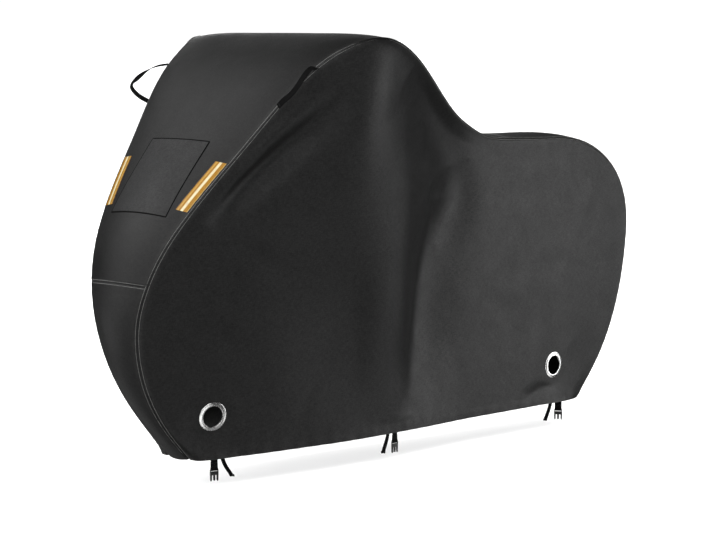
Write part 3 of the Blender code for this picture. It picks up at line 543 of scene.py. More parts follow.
# ------------------------------------------------------------------ fine surface
PANEL_COLUMNS, PANEL_ROWS = 212, 124  # even lines of the fine panel
GUSSET_LINES, GUSSET_ACROSS = 0.0085, 30  # metres between its lines, and lines across
EDGE_LINES = (0.0, 0.0008, 0.0016, 0.0026, 0.0038, 0.0052, 0.0072, 0.0105)
SEAM_DIP, SEAM_DIP_WIDTH = 0.0022, 0.0024  # how far the cloth turns in at a seam
STITCH_OFF = 0.0046  # the topstitch runs this far from the seam
STITCH_PITCH, STITCH_LENGTH, THREAD = 0.0040, 0.0033, 0.00060
HEM_FOLD = 0.019  # height of the turned-up hem
PUCKER, PUCKER_LENGTH = 0.00045, 0.034

# Folds and creases of the panel besides the part's own, each a line from its
# upper end to its lower: half width toward the seam or the front, half width
# toward the tail, depth (positive where the cloth sinks in), and the x and z
# of the line's points. A short width beside a long one makes a step.
CREASE_COLUMNS = ("crease", "half_front", "half_rear", "depth", "x_and_z")
CREASES = (
    ("before_crest", 0.040, 0.040, 0.0022, ((0.440, 0.520), (0.478, 0.400), (0.498, 0.300), (0.512, 0.200), (0.508, 0.110))),
    ("crest_round", 0.075, 0.080, -0.0130, ((0.500, 0.900), (0.560, 0.780), (0.600, 0.700), (0.632, 0.601), (0.650, 0.504), (0.664, 0.389), (0.672, 0.274), (0.672, 0.158), (0.660, 0.030))),
    ("seam_roll", 0.022, 0.026, -0.0060, ((0.262, 0.992), (0.196, 0.938), (0.154, 0.902), (0.116, 0.867), (0.076, 0.826), (0.032, 0.763), (-0.014, 0.698), (-0.052, 0.648))),
    ("seam_groove", 0.030, 0.050, 0.0300, ((0.318, 0.960), (0.257, 0.910), (0.222, 0.875), (0.185, 0.844), (0.148, 0.813), (0.090, 0.763), (0.034, 0.714), (0.000, 0.677), (-0.045, 0.630))),
    ("fall_foot", 0.094, 0.080, 0.0175, ((0.560, 1.030), (0.650, 0.965), (0.735, 0.900), (0.805, 0.840), (0.862, 0.785), (0.910, 0.730), (0.938, 0.672), (0.920, 0.605), (0.850, 0.540))),
    ("wall_foot", 0.055, 0.150, 0.0200, ((0.800, 0.720), (0.826, 0.600), (0.822, 0.511), (0.802, 0.427), (0.791, 0.342), (0.779, 0.228), (0.753, 0.040))),
    ("crown_band", 0.045, 0.060, 0.0060, ((0.368, 1.068), (0.336, 0.994), (0.310, 0.945), (0.268, 0.866), (0.215, 0.790))),
    ("breast_one", 0.030, 0.030, 0.0020, ((0.300, 0.480), (0.160, 0.520), (0.050, 0.600))),
    ("breast_two", 0.034, 0.034, 0.0018, ((0.180, 0.300), (0.020, 0.330), (-0.110, 0.420))),
    ("rear_one", 0.036, 0.036, 0.0018, ((1.060, 0.760), (1.170, 0.690), (1.330, 0.650))),
    ("rear_two", 0.040, 0.040, 0.0014, ((1.000, 0.420), (1.120, 0.330), (1.300, 0.300))),
    ("hem_front", 0.026, 0.026, 0.0016, ((0.400, 0.230), (0.330, 0.110), (0.300, 0.020))),
    ("hem_rear", 0.030, 0.030, 0.0014, ((0.930, 0.240), (0.960, 0.120), (0.930, 0.020))),
    ("tail_corner", 0.024, 0.024, -0.0014, ((1.520, 0.220), (1.440, 0.140), (1.380, 0.100))),
)


def graded(count, length, offsets=EDGE_LINES):
    """Lines from 0 to 1, even in the middle and close together beside the ends."""
    near = np.array(offsets) / length
    return np.concatenate([near[:-1], np.linspace(near[-1], 1 - near[-1], count), 1 - near[-2::-1]])


def seam_tree(points):
    tree = KDTree(len(points))
    for k, point in enumerate(points):
        tree.insert(point, k)
    tree.balance()
    return tree


def near_seam(tree, points, within):
    """Distance of each point from the nearest seam point, and which one it is."""
    flat = points.reshape(-1, 3)
    far, which = np.full(len(flat), within), np.zeros(len(flat), int)
    for k, point in enumerate(flat):
        _, index, away = tree.find(point)
        if away < within:
            far[k], which[k] = away, index
    return far.reshape(points.shape[:-1]), which.reshape(points.shape[:-1])


def soft_noise(points, scale, seed):
    shift = Vector((seed * 7.3, seed * 3.1, seed * 5.7))
    flat = points.reshape(-1, 3) / scale
    return np.array([noise.noise(Vector(p) + shift) for p in flat]).reshape(points.shape[:-1])


def crease_depth(x, z, table):
    total = np.zeros(np.shape(x))
    for _, half_front, half_rear, depth, rows in table:
        knots = chords(np.array(rows))
        ways = np.linspace(0, knots[-1], 60)
        line = spline(knots, np.array(rows))(ways)
        lead = np.gradient(line, axis=0)
        lead_length = np.linalg.norm(lead, axis=1).mean()
        near, at, side = np.full(np.shape(x), 9.0), np.zeros(np.shape(x)), np.zeros(np.shape(x))
        for (px, pz), (tx, tz), way in zip(line, lead, ways / knots[-1]):
            gap = np.hypot(x - px, z - pz)
            closer = gap < near
            at = np.where(closer, way, at)
            side = np.where(closer, tx * (z - pz) - tz * (x - px), side)
            near = np.minimum(gap, near)
        beside = side / np.maximum(near * lead_length, 1e-9)
        half = half_front + (half_rear - half_front) * smooth(-0.8, 0.8, np.clip(beside, -1, 1))
        fade = np.clip(np.sin(np.pi * at), 0, 1) ** 0.9
        total += depth * fade * np.exp(-((near / half) ** 2))
    return total


def seam_profile(far, along):
    """How far the cloth stands out beside a seam: it turns in at the seam, is
    pulled down under the topstitch and puffs up past it."""
    rise = -SEAM_DIP * np.exp(-((far / SEAM_DIP_WIDTH) ** 2))
    rise -= 0.00045 * np.exp(-(((far - STITCH_OFF) / 0.0012) ** 2))
    rise += 0.00055 * np.exp(-(((far - 0.0090) / 0.0035) ** 2))
    strength = 0.55 + 0.45 * np.sin(along * 2.3 + 1.1 * np.sin(along * 5.1))
    wave = np.sin(2 * np.pi * along / PUCKER_LENGTH + 1.7 * np.sin(along * 9.0))
    return rise + PUCKER * strength * wave * np.exp(-(((far - 0.006) / 0.012) ** 2))


SEAM_FINE = np.linspace(0, STATION["tail_hem"], 2400)
SEAM_LEFT = gusset_point(SEAM_FINE, -1.0)
SEAM_TREE = seam_tree(SEAM_LEFT)


def panel_rise(points, normals):
    """Height of the fine surface of the left panel over its smooth form."""
    far, which = near_seam(SEAM_TREE, points, 0.06)
    rise = seam_profile(far, SEAM_FINE[which])
    x, z = points[..., 0], points[..., 2]
    inner = smooth(0.0, 0.05, far)
    calm = inner
    for ex, ez, *_ in EYELET_PLANES.values():
        calm = calm * smooth(0.038, 0.075, np.hypot(x - ex, z - ez))
    rise -= calm * crease_depth(x, z, CREASES)
    rise += calm * (0.0016 * soft_noise(points, 0.30, 1) + 0.0005 * soft_noise(points, 0.11, 2))
    # the turned-up hem is a second layer, drawn in along its stitching
    height = z + 0.0015 * np.sin(x * 31.0)
    fold = 1 - smooth(HEM_FOLD, HEM_FOLD + 0.004, height)
    rise += 0.0007 * fold - 0.0006 * np.exp(-(((height - HEM_FOLD + 0.003) / 0.0016) ** 2))
    rise += 0.0006 * np.sin(x * 2 * np.pi / 0.052 + 2 * np.sin(x * 9)) * np.exp(-((z / 0.03) ** 2))
    return rise


def gusset_rise(points, s, y_edge, ends):
    """Height of the fine surface of a gusset piece over its smooth form."""
    rise = seam_profile(y_edge, s + 0.4)
    for end, is_seam in ends:
        if is_seam:
            rise += seam_profile(np.abs(s - end), points[..., 1] + 2.0) * smooth(0.0, 0.004, y_edge)
    calm = smooth(0.0, 0.03, y_edge)
    rise += calm * (0.0012 * soft_noise(points, 0.28, 3) + 0.0004 * soft_noise(points, 0.10, 4))
    for end, is_seam in ends:
        if not is_seam:
            up = np.abs(s - end)
            fold = 1 - smooth(HEM_FOLD, HEM_FOLD + 0.004, up)
            rise += 0.0007 * fold - 0.0006 * np.exp(-(((up - HEM_FOLD + 0.003) / 0.0016) ** 2))
    return rise


def surface_normals(outer):
    du = np.gradient(outer, axis=0)
    dv = np.gradient(outer, axis=1)
    return unit(np.cross(du, dv))


def slab(name, outer, inner, uv, hole=None, sharp=35):
    """Closed cloth of two grids of points, with walls round its rim and holes."""
    columns, rows = outer.shape[:2]
    index = np.arange(columns * rows).reshape(columns, rows)
    kept = np.ones((columns - 1, rows - 1), bool) if hole is None else ~hole
    i, j = np.nonzero(kept)
    a, b, c, d = index[i, j], index[i + 1, j], index[i + 1, j + 1], index[i, j + 1]
    below = columns * rows
    faces = [np.stack([a, b, c, d], 1), np.stack([a, d, c, b], 1) + below]
    framed = np.zeros((columns + 1, rows + 1), bool)
    framed[1:-1, 1:-1] = kept
    for axis, (p, q) in ((0, ((0, 0), (0, 1))), (1, ((0, 0), (1, 0)))):
        before = framed[:-1, 1:-1] if axis == 0 else framed[1:-1, :-1]
        after = framed[1:, 1:-1] if axis == 0 else framed[1:-1, 1:]
        for mask, turned in ((after & ~before, axis == 0), (before & ~after, axis == 1)):
            i, j = np.nonzero(mask)
            start, end = index[i + p[0], j + p[1]], index[i + q[0], j + q[1]]
            if turned:
                start, end = end, start
            faces.append(np.stack([end, start, start + below, end + below], 1))
    faces = np.concatenate(faces)
    points = np.concatenate([outer.reshape(-1, 3), inner.reshape(-1, 3)]) - ORIGIN
    used = np.unique(faces)
    renumber = np.full(2 * below, -1)
    renumber[used] = np.arange(len(used))
    mesh = bpy.data.meshes.new(name)
    mesh.from_pydata(points[used].tolist(), [], renumber[faces].tolist())
    flat_uv = np.concatenate([uv.reshape(-1, 2), uv.reshape(-1, 2)])[used]
    layer = mesh.uv_layers.new(name="cloth")
    loops = np.empty(len(mesh.loops), np.int32)
    mesh.loops.foreach_get("vertex_index", loops)
    layer.data.foreach_set("uv", flat_uv[loops].astype(np.float32).ravel())
    mesh.shade_smooth()
    mesh.set_sharp_from_angle(angle=math.radians(sharp))
    made = bpy.data.objects.new(name, mesh)
    bpy.context.scene.collection.objects.link(made)
    return made


def side_panels():
    us, vs = graded(PANEL_COLUMNS, 1.62), graded(PANEL_ROWS, 1.02)
    grid_u, grid_v = np.meshgrid(us, vs, indexing="ij")
    smooth_form = left_point(grid_u, grid_v)
    normal = surface_normals(smooth_form)
    # along the seam the panel's edge takes the mitred direction it shares with the gusset
    crown, shoulder, end = STATION["crown"], STATION["shoulder"], STATION["tail_hem"]
    outer = smooth_form + normal * panel_rise(smooth_form, normal)[..., None]
    inner = outer - CLOTH * normal
    for place, s in (
        ((0, slice(None)), vs * crown),
        ((slice(None), -1), crown + us * (shoulder - crown)),
        ((-1, slice(None)), end - vs * (end - shoulder)),
    ):
        over = gusset_normal(s, -np.ones(len(s)))
        here = panel_normal(grid_u[place], grid_v[place])
        mitre = (here + over) / np.maximum(1 + (here * over).sum(-1, keepdims=True), 0.35)
        seam = gusset_point(s, -np.ones(len(s)))
        outer[place] = seam - SEAM_DIP * mitre
        inner[place] = seam - (SEAM_DIP + CLOTH) * mitre
    hole = np.zeros((len(us) - 1, len(vs) - 1), bool)
    for x, z, *_ in EYELET_PLANES.values():
        away = np.hypot(outer[..., 0] - x, outer[..., 2] - z)
        corner = np.maximum.reduce([away[:-1, :-1], away[1:, :-1], away[:-1, 1:], away[1:, 1:]])
        cut = corner < 0.0372
        hole |= cut
        pull = (away < 0.0372) & (away > 1e-4)
        grow = np.where(pull, np.maximum(away, 0.0325) / np.maximum(away, 1e-4), 1.0)
        for layer in (outer, inner):
            shift = layer[..., [0, 2]] - np.array([x, z])
            layer[..., 0] = x + shift[..., 0] * grow
            layer[..., 2] = z + shift[..., 1] * grow
    uv = np.stack([smooth_form[..., 0], smooth_form[..., 2]], -1)
    flat = np.array([1, -1, 1])
    left = slab("cover_side_left", outer, inner, uv, hole)
    right = slab("cover_side_right", (outer * flat)[::-1], (inner * flat)[::-1], uv[::-1], hole[::-1])
    area = np.linalg.norm(
        np.cross(np.diff(smooth_form, axis=0)[:, :-1], np.diff(smooth_form, axis=1)[:-1]), axis=-1
    ).sum()
    return (left, right), float(area)


def gusset_pieces():
    made = []
    t_lines = graded(GUSSET_ACROSS, 0.30) * 2 - 1
    marks = (
        ("cover_gusset_front_lower", "nose_hem", "nose_seam"),
        ("cover_gusset_top", "nose_seam", "saddle_seam"),
        ("cover_gusset_rear", "saddle_seam", "tail_hem"),
    )
    for name, first, last in marks:
        start, end = STATION[first], STATION[last]
        count = int((end - start) / GUSSET_LINES)
        s_lines = start + graded(count, end - start) * (end - start)
        s, t = np.meshgrid(s_lines, t_lines, indexing="ij")
        form = gusset_point(s, t)
        normal = gusset_normal(s, t)
        y_edge = (1 - np.abs(t)) * SEAM_AT(s)[..., 2] * 1.02
        ends = ((start, first != "nose_hem"), (end, last != "tail_hem"))
        outer = form + normal * gusset_rise(form, s, y_edge, ends)[..., None]
        inner = outer - CLOTH * normal
        for side, flip in ((0, 1), (-1, -1)):
            turn = np.array([1, flip, 1])
            here = s_lines
            over = gusset_normal(here, -np.ones(len(here)))
            crown, shoulder, tail = STATION["crown"], STATION["shoulder"], STATION["tail_hem"]
            u = np.clip((here - crown) / (shoulder - crown), 0, 1)
            v = np.where(here <= crown, here / crown, np.clip((tail - here) / (tail - shoulder), 0, 1))
            beside = panel_normal(u, v)
            mitre = (beside + over) / np.maximum(1 + (beside * over).sum(-1, keepdims=True), 0.35)
            seam = gusset_point(here, -np.ones(len(here)))
            outer[:, side] = (seam - SEAM_DIP * mitre) * turn
            inner[:, side] = (seam - (SEAM_DIP + CLOTH) * mitre) * turn
        uv = np.stack([form[..., 1], s], -1)
        piece = slab(name, outer, inner, uv)
        width = float(SEAM_AT(s_lines)[:, 2].max() * 2.1)
        area = float(
            np.linalg.norm(
                np.cross(np.diff(form, axis=0)[:, :-1], np.diff(form, axis=1)[:-1]), axis=-1
            ).sum()
        )
        made.append((piece, width, end - start, area))
    return made


# ------------------------------------------------------------------ stitching
def thread_run(path, normals, pitch=STITCH_PITCH, length=STITCH_LENGTH, radius=THREAD):
    """Points and faces of a row of stitches along a path lying on the cloth."""
    knots = chords(path)
    at = spline(knots, np.c_[path, normals])
    starts = np.arange(pitch / 2, knots[-1] - pitch / 2, pitch)
    ways = np.array([-0.5, -0.28, 0.28, 0.5]) * length
    lift = np.array([-0.00035, 0.00022, 0.00022, -0.00035])
    both = at(starts[:, None] + ways[None, :])
    line, up = both[..., :3], unit(both[..., 3:])
    line = line + up * lift[None, :, None]
    run = unit(line[:, -1] - line[:, 0])[:, None, :]
    side = unit(np.cross(run, up))
    turns = np.linspace(0, 2 * np.pi, 5, endpoint=False)
    wide = np.array([0.55, 1.0, 1.0, 0.55]) * radius
    rings = line[:, :, None, :] + wide[None, :, None, None] * (
        np.cos(turns)[None, None, :, None] * side[:, :, None, :]
        + np.sin(turns)[None, None, :, None] * up[:, :, None, :]
    )
    count = len(starts)
    base = np.arange(count)[:, None, None, None] * 20
    ring = np.arange(3)[None, :, None, None] * 5
    turn = np.arange(5)[None, None, :, None]
    quad = np.concatenate(
        [base + ring + turn, base + ring + (turn + 1) % 5, base + ring + 5 + (turn + 1) % 5, base + ring + 5 + turn],
        axis=3,
    ).reshape(-1, 4)
    caps = [list(range(k * 20 + 4, k * 20 - 1, -1)) for k in range(count)]
    caps += [list(range(k * 20 + 15, k * 20 + 20)) for k in range(count)]
    return rings.reshape(-1, 3), quad.tolist() + caps


def stitching(name, runs):
    points, faces, start = [], [], 0
    for found, some in runs:
        points.append(found)
        faces += [[k + start for k in face] for face in some]
        start += len(found)
    mesh = bpy.data.meshes.new(name)
    mesh.from_pydata((np.concatenate(points) - ORIGIN).tolist(), [], faces)
    mesh.shade_smooth()
    made = bpy.data.objects.new(name, mesh)
    bpy.context.scene.collection.objects.link(made)
    return made


def beside_seam_on_panel(first, last, count=700):
    """Path on the left panel's surface, a stitch's distance from the seam."""
    s = np.linspace(first, last, count)
    seam = gusset_point(s, -np.ones(count))
    crown, shoulder, tail = STATION["crown"], STATION["shoulder"], STATION["tail_hem"]
    u = np.where(s <= crown, 0.0, np.where(s >= shoulder, 1.0, (s - crown) / (shoulder - crown)))
    v = np.where(s <= crown, s / crown, np.where(s >= shoulder, (tail - s) / (tail - shoulder), 1.0))
    normal = panel_normal(u, v)
    run = unit(np.gradient(seam, axis=0))
    inward = unit(np.cross(normal, run))
    centre = np.array([0.70, -0.15, 0.45]) - seam
    inward *= np.sign((inward * centre).sum(-1, keepdims=True))
    return seam + inward * STITCH_OFF - normal * 0.0003, normal


def beside_seam_on_gusset(first, last, count=700):
    s = np.linspace(first, last, count)
    half = SEAM_AT(s)[:, 2]
    t = -(1 - STITCH_OFF / half)
    return gusset_point(s, t) - 0.0003 * gusset_normal(s, t), gusset_normal(s, t)


def all_stitching():
    made = []
    tail = STATION["tail_hem"]
    for side, flip in (("left", 1), ("right", -1)):
        turn = np.array([1, flip, 1])
        runs = []
        for route in (beside_seam_on_panel, beside_seam_on_gusset):
            path, normal = route(0.004, tail - 0.004)
            runs.append(thread_run(path * turn, normal * turn))
        made.append(stitching(f"seam_stitching_{side}", runs))
    runs = []
    for mark in ("nose_seam", "saddle_seam"):
        for off in (-0.0043, 0.0043):
            t = np.linspace(-0.955, 0.955, 120)
            s = np.full(120, STATION[mark] + off)
            normal = gusset_normal(s, t)
            runs.append(thread_run(gusset_point(s, t) - 0.0003 * normal, normal))
    made.append(stitching("cross_stitching", runs))
    return made


def hem_stitching():
    """Dark thread that holds the turned-up hem, right round the opening."""
    runs = []
    us = np.linspace(0.012, 0.988, 500)
    vs = np.full(500, 0.0)
    height = HEM_FOLD - 0.003
    for _ in range(4):
        here = left_point(us, vs)
        vs = np.clip(vs + (height - here[:, 2]) / 1.0, 0, 0.08)
    path, normal = left_point(us, vs), panel_normal(us, vs)
    for flip in (1, -1):
        turn = np.array([1, flip, 1])
        runs.append(thread_run(path * turn, normal * turn, 0.0046, 0.0038))
    t = np.linspace(-0.86, 0.86, 60)
    for s in (height, STATION["tail_hem"] - height):
        s = np.full(60, s)
        runs.append(thread_run(gusset_point(s, t), gusset_normal(s, t), 0.0046, 0.0038))
    return stitching("hem_stitching", runs)


# ------------------------------------------------------------------ sewn pieces
def on_gusset(s, y, lift):
    half = SEAM_AT(s)[..., 2]
    return gusset_point(s, y / half) + gusset_normal(s, y / half) * np.asarray(lift)[..., None]


def pillowed(name, s, y, uv, base, thick, edge, flip=1):
    """A sewn-on piece: flat back, face rising from its edge to its full thickness."""
    columns, rows = s.shape
    i = np.minimum(np.arange(columns), np.arange(columns)[::-1])[:, None]
    j = np.minimum(np.arange(rows), np.arange(rows)[::-1])[None, :]
    border = np.minimum(i, j)
    rise = np.where(border == 0, thick * edge, np.where(border == 1, thick * (0.5 + edge / 2), thick))
    turn = np.array([1, flip, 1])
    outer = on_gusset(s, y, base + rise) * turn
    inner = on_gusset(s, y, np.full(s.shape, base)) * turn
    if flip < 0:
        outer, inner, uv = outer[:, ::-1], inner[:, ::-1], uv[:, ::-1]
    return slab(name, outer, inner, uv, sharp=60)


def bare_patch():
    """The patch, left plain, with its raised border, whose black thread is painted shade along the patch's edge, and
    the stitches in it.
    """
    cross = STATION["nose_seam"]
    (_, low, low_half), (_, high, high_half) = PATCH
    length = high - low
    ways = graded(40, length, (0.0, 0.0006, 0.0014, 0.003))
    across = graded(44, 2 * low_half, (0.0, 0.0006, 0.0014, 0.003)) * 2 - 1
    w, a = np.meshgrid(ways, across, indexing="ij")
    s = cross + low + length * w
    y = (low_half + (high_half - low_half) * w) * a
    patch = pillowed("bare_patch", s, y, np.stack([y, s], -1), 0.0003, 0.0011, 0.45)
    # border: a closed run of satin stitches over the patch's edge, its black thread painted shade round the patch
    corners = [(0, -1), (0, 1), (1, 1), (1, -1), (0, -1)]
    path, normals = [], []
    for (w0, a0), (w1, a1) in zip(corners[:-1], corners[1:]):
        k = np.linspace(0, 1, 90, endpoint=False)
        w, a = w0 + (w1 - w0) * k, a0 + (a1 - a0) * k
        s = cross + low + length * w
        y = (low_half + (high_half - low_half) * w) * a * 0.988
        path.append(on_gusset(s, y, np.full(90, 0.0009)))
        normals.append(gusset_normal(s, y / SEAM_AT(s)[:, 2]))
    path, normals = np.concatenate(path), np.concatenate(normals)
    return patch, satin_border("patch_border", path, normals, 0.0046, 0.0013)


def satin_border(name, path, normals, width, height):
    """A closed rounded ridge of side-by-side threads along a closed path."""
    closed = np.r_[path, path[:1]]
    knots = chords(closed)
    count = int(knots[-1] / 0.0011)
    at = np.linspace(0, knots[-1], count, endpoint=False)
    line = np.stack([np.interp(at, knots, closed[:, k]) for k in range(3)], -1)
    up = unit(np.stack([np.interp(at, knots, np.r_[normals, normals[:1]][:, k]) for k in range(3)], -1))
    run = unit(np.roll(line, -3, 0) - np.roll(line, 3, 0))
    side = unit(np.cross(run, up))
    turns = np.linspace(0, 2 * np.pi, 10, endpoint=False)
    beat = 1 + 0.10 * (np.arange(count) % 2)[:, None]
    across = np.cos(turns)[None, :] * width / 2 * (0.97 + 0.03 * beat)
    over = np.sin(turns)[None, :] * height / 2 * beat
    rings = line[:, None] + across[..., None] * side[:, None] + over[..., None] * up[:, None]
    a = (np.arange(count)[:, None] * 10 + np.arange(10)[None, :]).ravel()
    b = (np.arange(count)[:, None] * 10 + (np.arange(10)[None, :] + 1) % 10).ravel()
    ahead = 10 * count
    faces = np.stack([a, b, (b + 10) % ahead, (a + 10) % ahead], 1)
    mesh = bpy.data.meshes.new(name)
    mesh.from_pydata((rings.reshape(-1, 3) - ORIGIN).tolist(), [], faces.tolist())
    mesh.shade_smooth()
    made = bpy.data.objects.new(name, mesh)
    bpy.context.scene.collection.objects.link(made)
    return made


def reflective_strips():
    cross = STATION["nose_seam"]
    made, runs = [], []
    length = STRIP_HIGH - STRIP_LOW
    ways = graded(36, length, (0.0, 0.0005, 0.0012, 0.003))
    across = graded(20, STRIP_WIDTH, (0.0, 0.0005, 0.0012, 0.003))
    w, a = np.meshgrid(ways, across, indexing="ij")
    s = cross + STRIP_LOW + length * w
    edge = SEAM_AT(s)[..., 2] - STRIP_INSET
    y = -(edge - STRIP_WIDTH * (1 - a))
    order = slice(None, None, -1)  # from the seam inwards, so that the face looks out
    for side, flip in (("left", 1), ("right", -1)):
        uv = np.stack([a * STRIP_WIDTH, w * length], -1)
        made.append(
            pillowed(f"strip_{side}", s[:, order], y[:, order], uv[:, order], 0.0003, 0.0009, 0.4, flip)
        )
        turn = np.array([1, flip, 1])
        for inset in (0.0022, STRIP_WIDTH - 0.0022):
            line = cross + STRIP_LOW + length * np.linspace(0.02, 0.98, 80)
            off = -(SEAM_AT(line)[:, 2] - STRIP_INSET - STRIP_WIDTH + inset)
            path = on_gusset(line, off, np.full(80, 0.0012))
            normal = gusset_normal(line, off / SEAM_AT(line)[:, 2])
            runs.append(thread_run(path * turn, normal * turn, 0.0034, 0.0027, 0.00028))
    return made, stitching("strip_stitching", runs)


# ------------------------------------------------------------------ webbing
def band(name, path, way, width, thick, closed_ends=True, wave=0.0):
    """Webbing along a path: a flat band with rounded selvedges."""
    knots = chords(path)
    count = max(8, int(knots[-1] / 0.0022))
    at = np.linspace(0, knots[-1], count)
    both = spline(knots, np.c_[path, way])(at)
    line, way = both[:, :3], both[:, 3:]
    run = unit(np.gradient(line, axis=0))
    way = unit(way - (way * run).sum(-1, keepdims=True) * run)
    face = np.cross(run, way)
    width = np.interp(at, knots, np.broadcast_to(width, len(path)))
    half, rim = width / 2, thick / 2
    section = [(-1 + 0.16 * k, 1) for k in range(1, 13)]
    section = [(-0.94, 0.8)] + [(x, 1.0) for x in np.linspace(-0.86, 0.86, 11)] + [(0.94, 0.8), (1.0, 0.0)]
    section += [(0.94, -0.8)] + [(x, -1.0) for x in np.linspace(0.86, -0.86, 11)] + [(-0.94, -0.8), (-1.0, 0.0)]
    section = np.array(section)
    sides = len(section)
    rings = (
        line[:, None]
        + (half[:, None] * section[None, :, 0])[..., None] * way[:, None]
        + (rim * section[None, :, 1])[..., None] * face[:, None]
    )
    a = (np.arange(count - 1)[:, None] * sides + np.arange(sides)[None, :]).ravel()
    b = (np.arange(count - 1)[:, None] * sides + (np.arange(sides)[None, :] + 1) % sides).ravel()
    faces = np.stack([a, b, b + sides, a + sides], 1).tolist()
    faces += [list(range(sides - 1, -1, -1)), list(range((count - 1) * sides, count * sides))]
    mesh = bpy.data.meshes.new(name)
    mesh.from_pydata((rings.reshape(-1, 3) - ORIGIN).tolist(), [], faces)
    layer = mesh.uv_layers.new(name="cloth")
    uv = np.stack(np.broadcast_arrays(half[:, None] * section[None, :, 0], at[:, None]), -1).reshape(-1, 2)
    loops = np.empty(len(mesh.loops), np.int32)
    mesh.loops.foreach_get("vertex_index", loops)
    layer.data.foreach_set("uv", uv[loops].astype(np.float32).ravel())
    shape = bmesh.new()
    shape.from_mesh(mesh)
    bmesh.ops.recalc_face_normals(shape, faces=shape.faces)
    shape.to_mesh(mesh)
    shape.free()
    mesh.shade_smooth()
    mesh.set_sharp_from_angle(angle=math.radians(50))
    made = bpy.data.objects.new(name, mesh)
    bpy.context.scene.collection.objects.link(made)
    return made, float(knots[-1])


def add_mesh(name, points, faces, shift=True, sharp=None):
    points = np.asarray(points, float).reshape(-1, 3) - (ORIGIN if shift else 0)
    mesh = bpy.data.meshes.new(name)
    mesh.from_pydata(points.tolist(), [], faces)
    mesh.shade_smooth()
    if sharp:
        mesh.set_sharp_from_angle(angle=math.radians(sharp))
    made = bpy.data.objects.new(name, mesh)
    bpy.context.scene.collection.objects.link(made)
    return made


def handle_loops():
    """Webbing loops whose ends are sewn into the seam, with a stitched bar at each."""
    made, runs = [], []
    for name, rows, flip in (("left", LOOP_LEFT, 1), ("right", LOOP_RIGHT, -1)):
        path, way = loop_path(rows, flip, 81)
        # the ends go on down into the seam
        path = np.r_[[path[0] + (path[0] - path[2]) * 1.0], path, [path[-1] + (path[-1] - path[-3]) * 1.0]]
        way = np.r_[way[:1], way, way[-1:]]
        piece, length = band(f"sewn_loop_{name}", path, way, LOOP_WIDTH, WEBBING)
        made.append((piece, length))
        run = unit(np.gradient(path, axis=0))
        flat = unit(way - (way * run).sum(-1, keepdims=True) * run)
        face = np.cross(run, flat)
        knots = chords(path)
        for at in (0.006, 0.0085, knots[-1] - 0.006, knots[-1] - 0.0085):
            here = spline(knots, np.c_[path, flat, face])(at)
            for side in (1, -1):
                across = np.linspace(-0.0068, 0.0068, 24)[:, None]
                line = here[:3] + across * here[3:6] + side * here[6:] * (WEBBING / 2 + 0.00015)
                runs.append(
                    thread_run(line, np.tile(side * here[6:], (24, 1)), 0.0022, 0.0019, 0.0003)
                )
    return made, stitching("handle_loop_stitching", runs)


def rounded_plate(name, outlines, thick, edge):
    """Plate with holes and rounded edges: the first outline is its outside."""
    curve = bpy.data.curves.new(name, "CURVE")
    curve.dimensions = "2D"
    curve.fill_mode = "BOTH"
    curve.extrude = thick / 2 - edge
    curve.bevel_depth = edge
    curve.bevel_resolution = 2
    curve.offset = -edge
    for outline in outlines:
        line = curve.splines.new("POLY")
        line.points.add(len(outline) - 1)
        for point, (a, d) in zip(line.points, outline):
            point.co = (a, d, 0.0, 1.0)
        line.use_cyclic_u = True
    holder = bpy.data.objects.new(name, curve)
    bpy.context.scene.collection.objects.link(holder)
    bpy.context.view_layer.update()
    mesh = bpy.data.meshes.new_from_object(holder.evaluated_get(bpy.context.evaluated_depsgraph_get()))
    bpy.data.objects.remove(holder, do_unlink=True)
    bpy.data.curves.remove(curve)
    shape = bmesh.new()
    shape.from_mesh(mesh)
    bmesh.ops.remove_doubles(shape, verts=shape.verts, dist=1e-6)
    bmesh.ops.recalc_face_normals(shape, faces=shape.faces)
    shape.to_mesh(mesh)
    shape.free()
    return mesh


def soft_corner(points, radius, steps=4):
    """The outline with every corner cut round."""
    points = np.array(points, float)
    out = []
    for k, here in enumerate(points):
        back, ahead = points[k - 1] - here, points[(k + 1) % len(points)] - here
        cut = min(radius, np.linalg.norm(back) * 0.45, np.linalg.norm(ahead) * 0.45)
        start = here + back / np.linalg.norm(back) * cut
        end = here + ahead / np.linalg.norm(ahead) * cut
        for t in np.linspace(0, 1, steps):
            out.append(tuple((1 - t) ** 2 * start + 2 * t * (1 - t) * here + t * t * end))
    return out


BUCKLE_BAR = 0.0024  # how far under the buckle's top edge its bar is centred


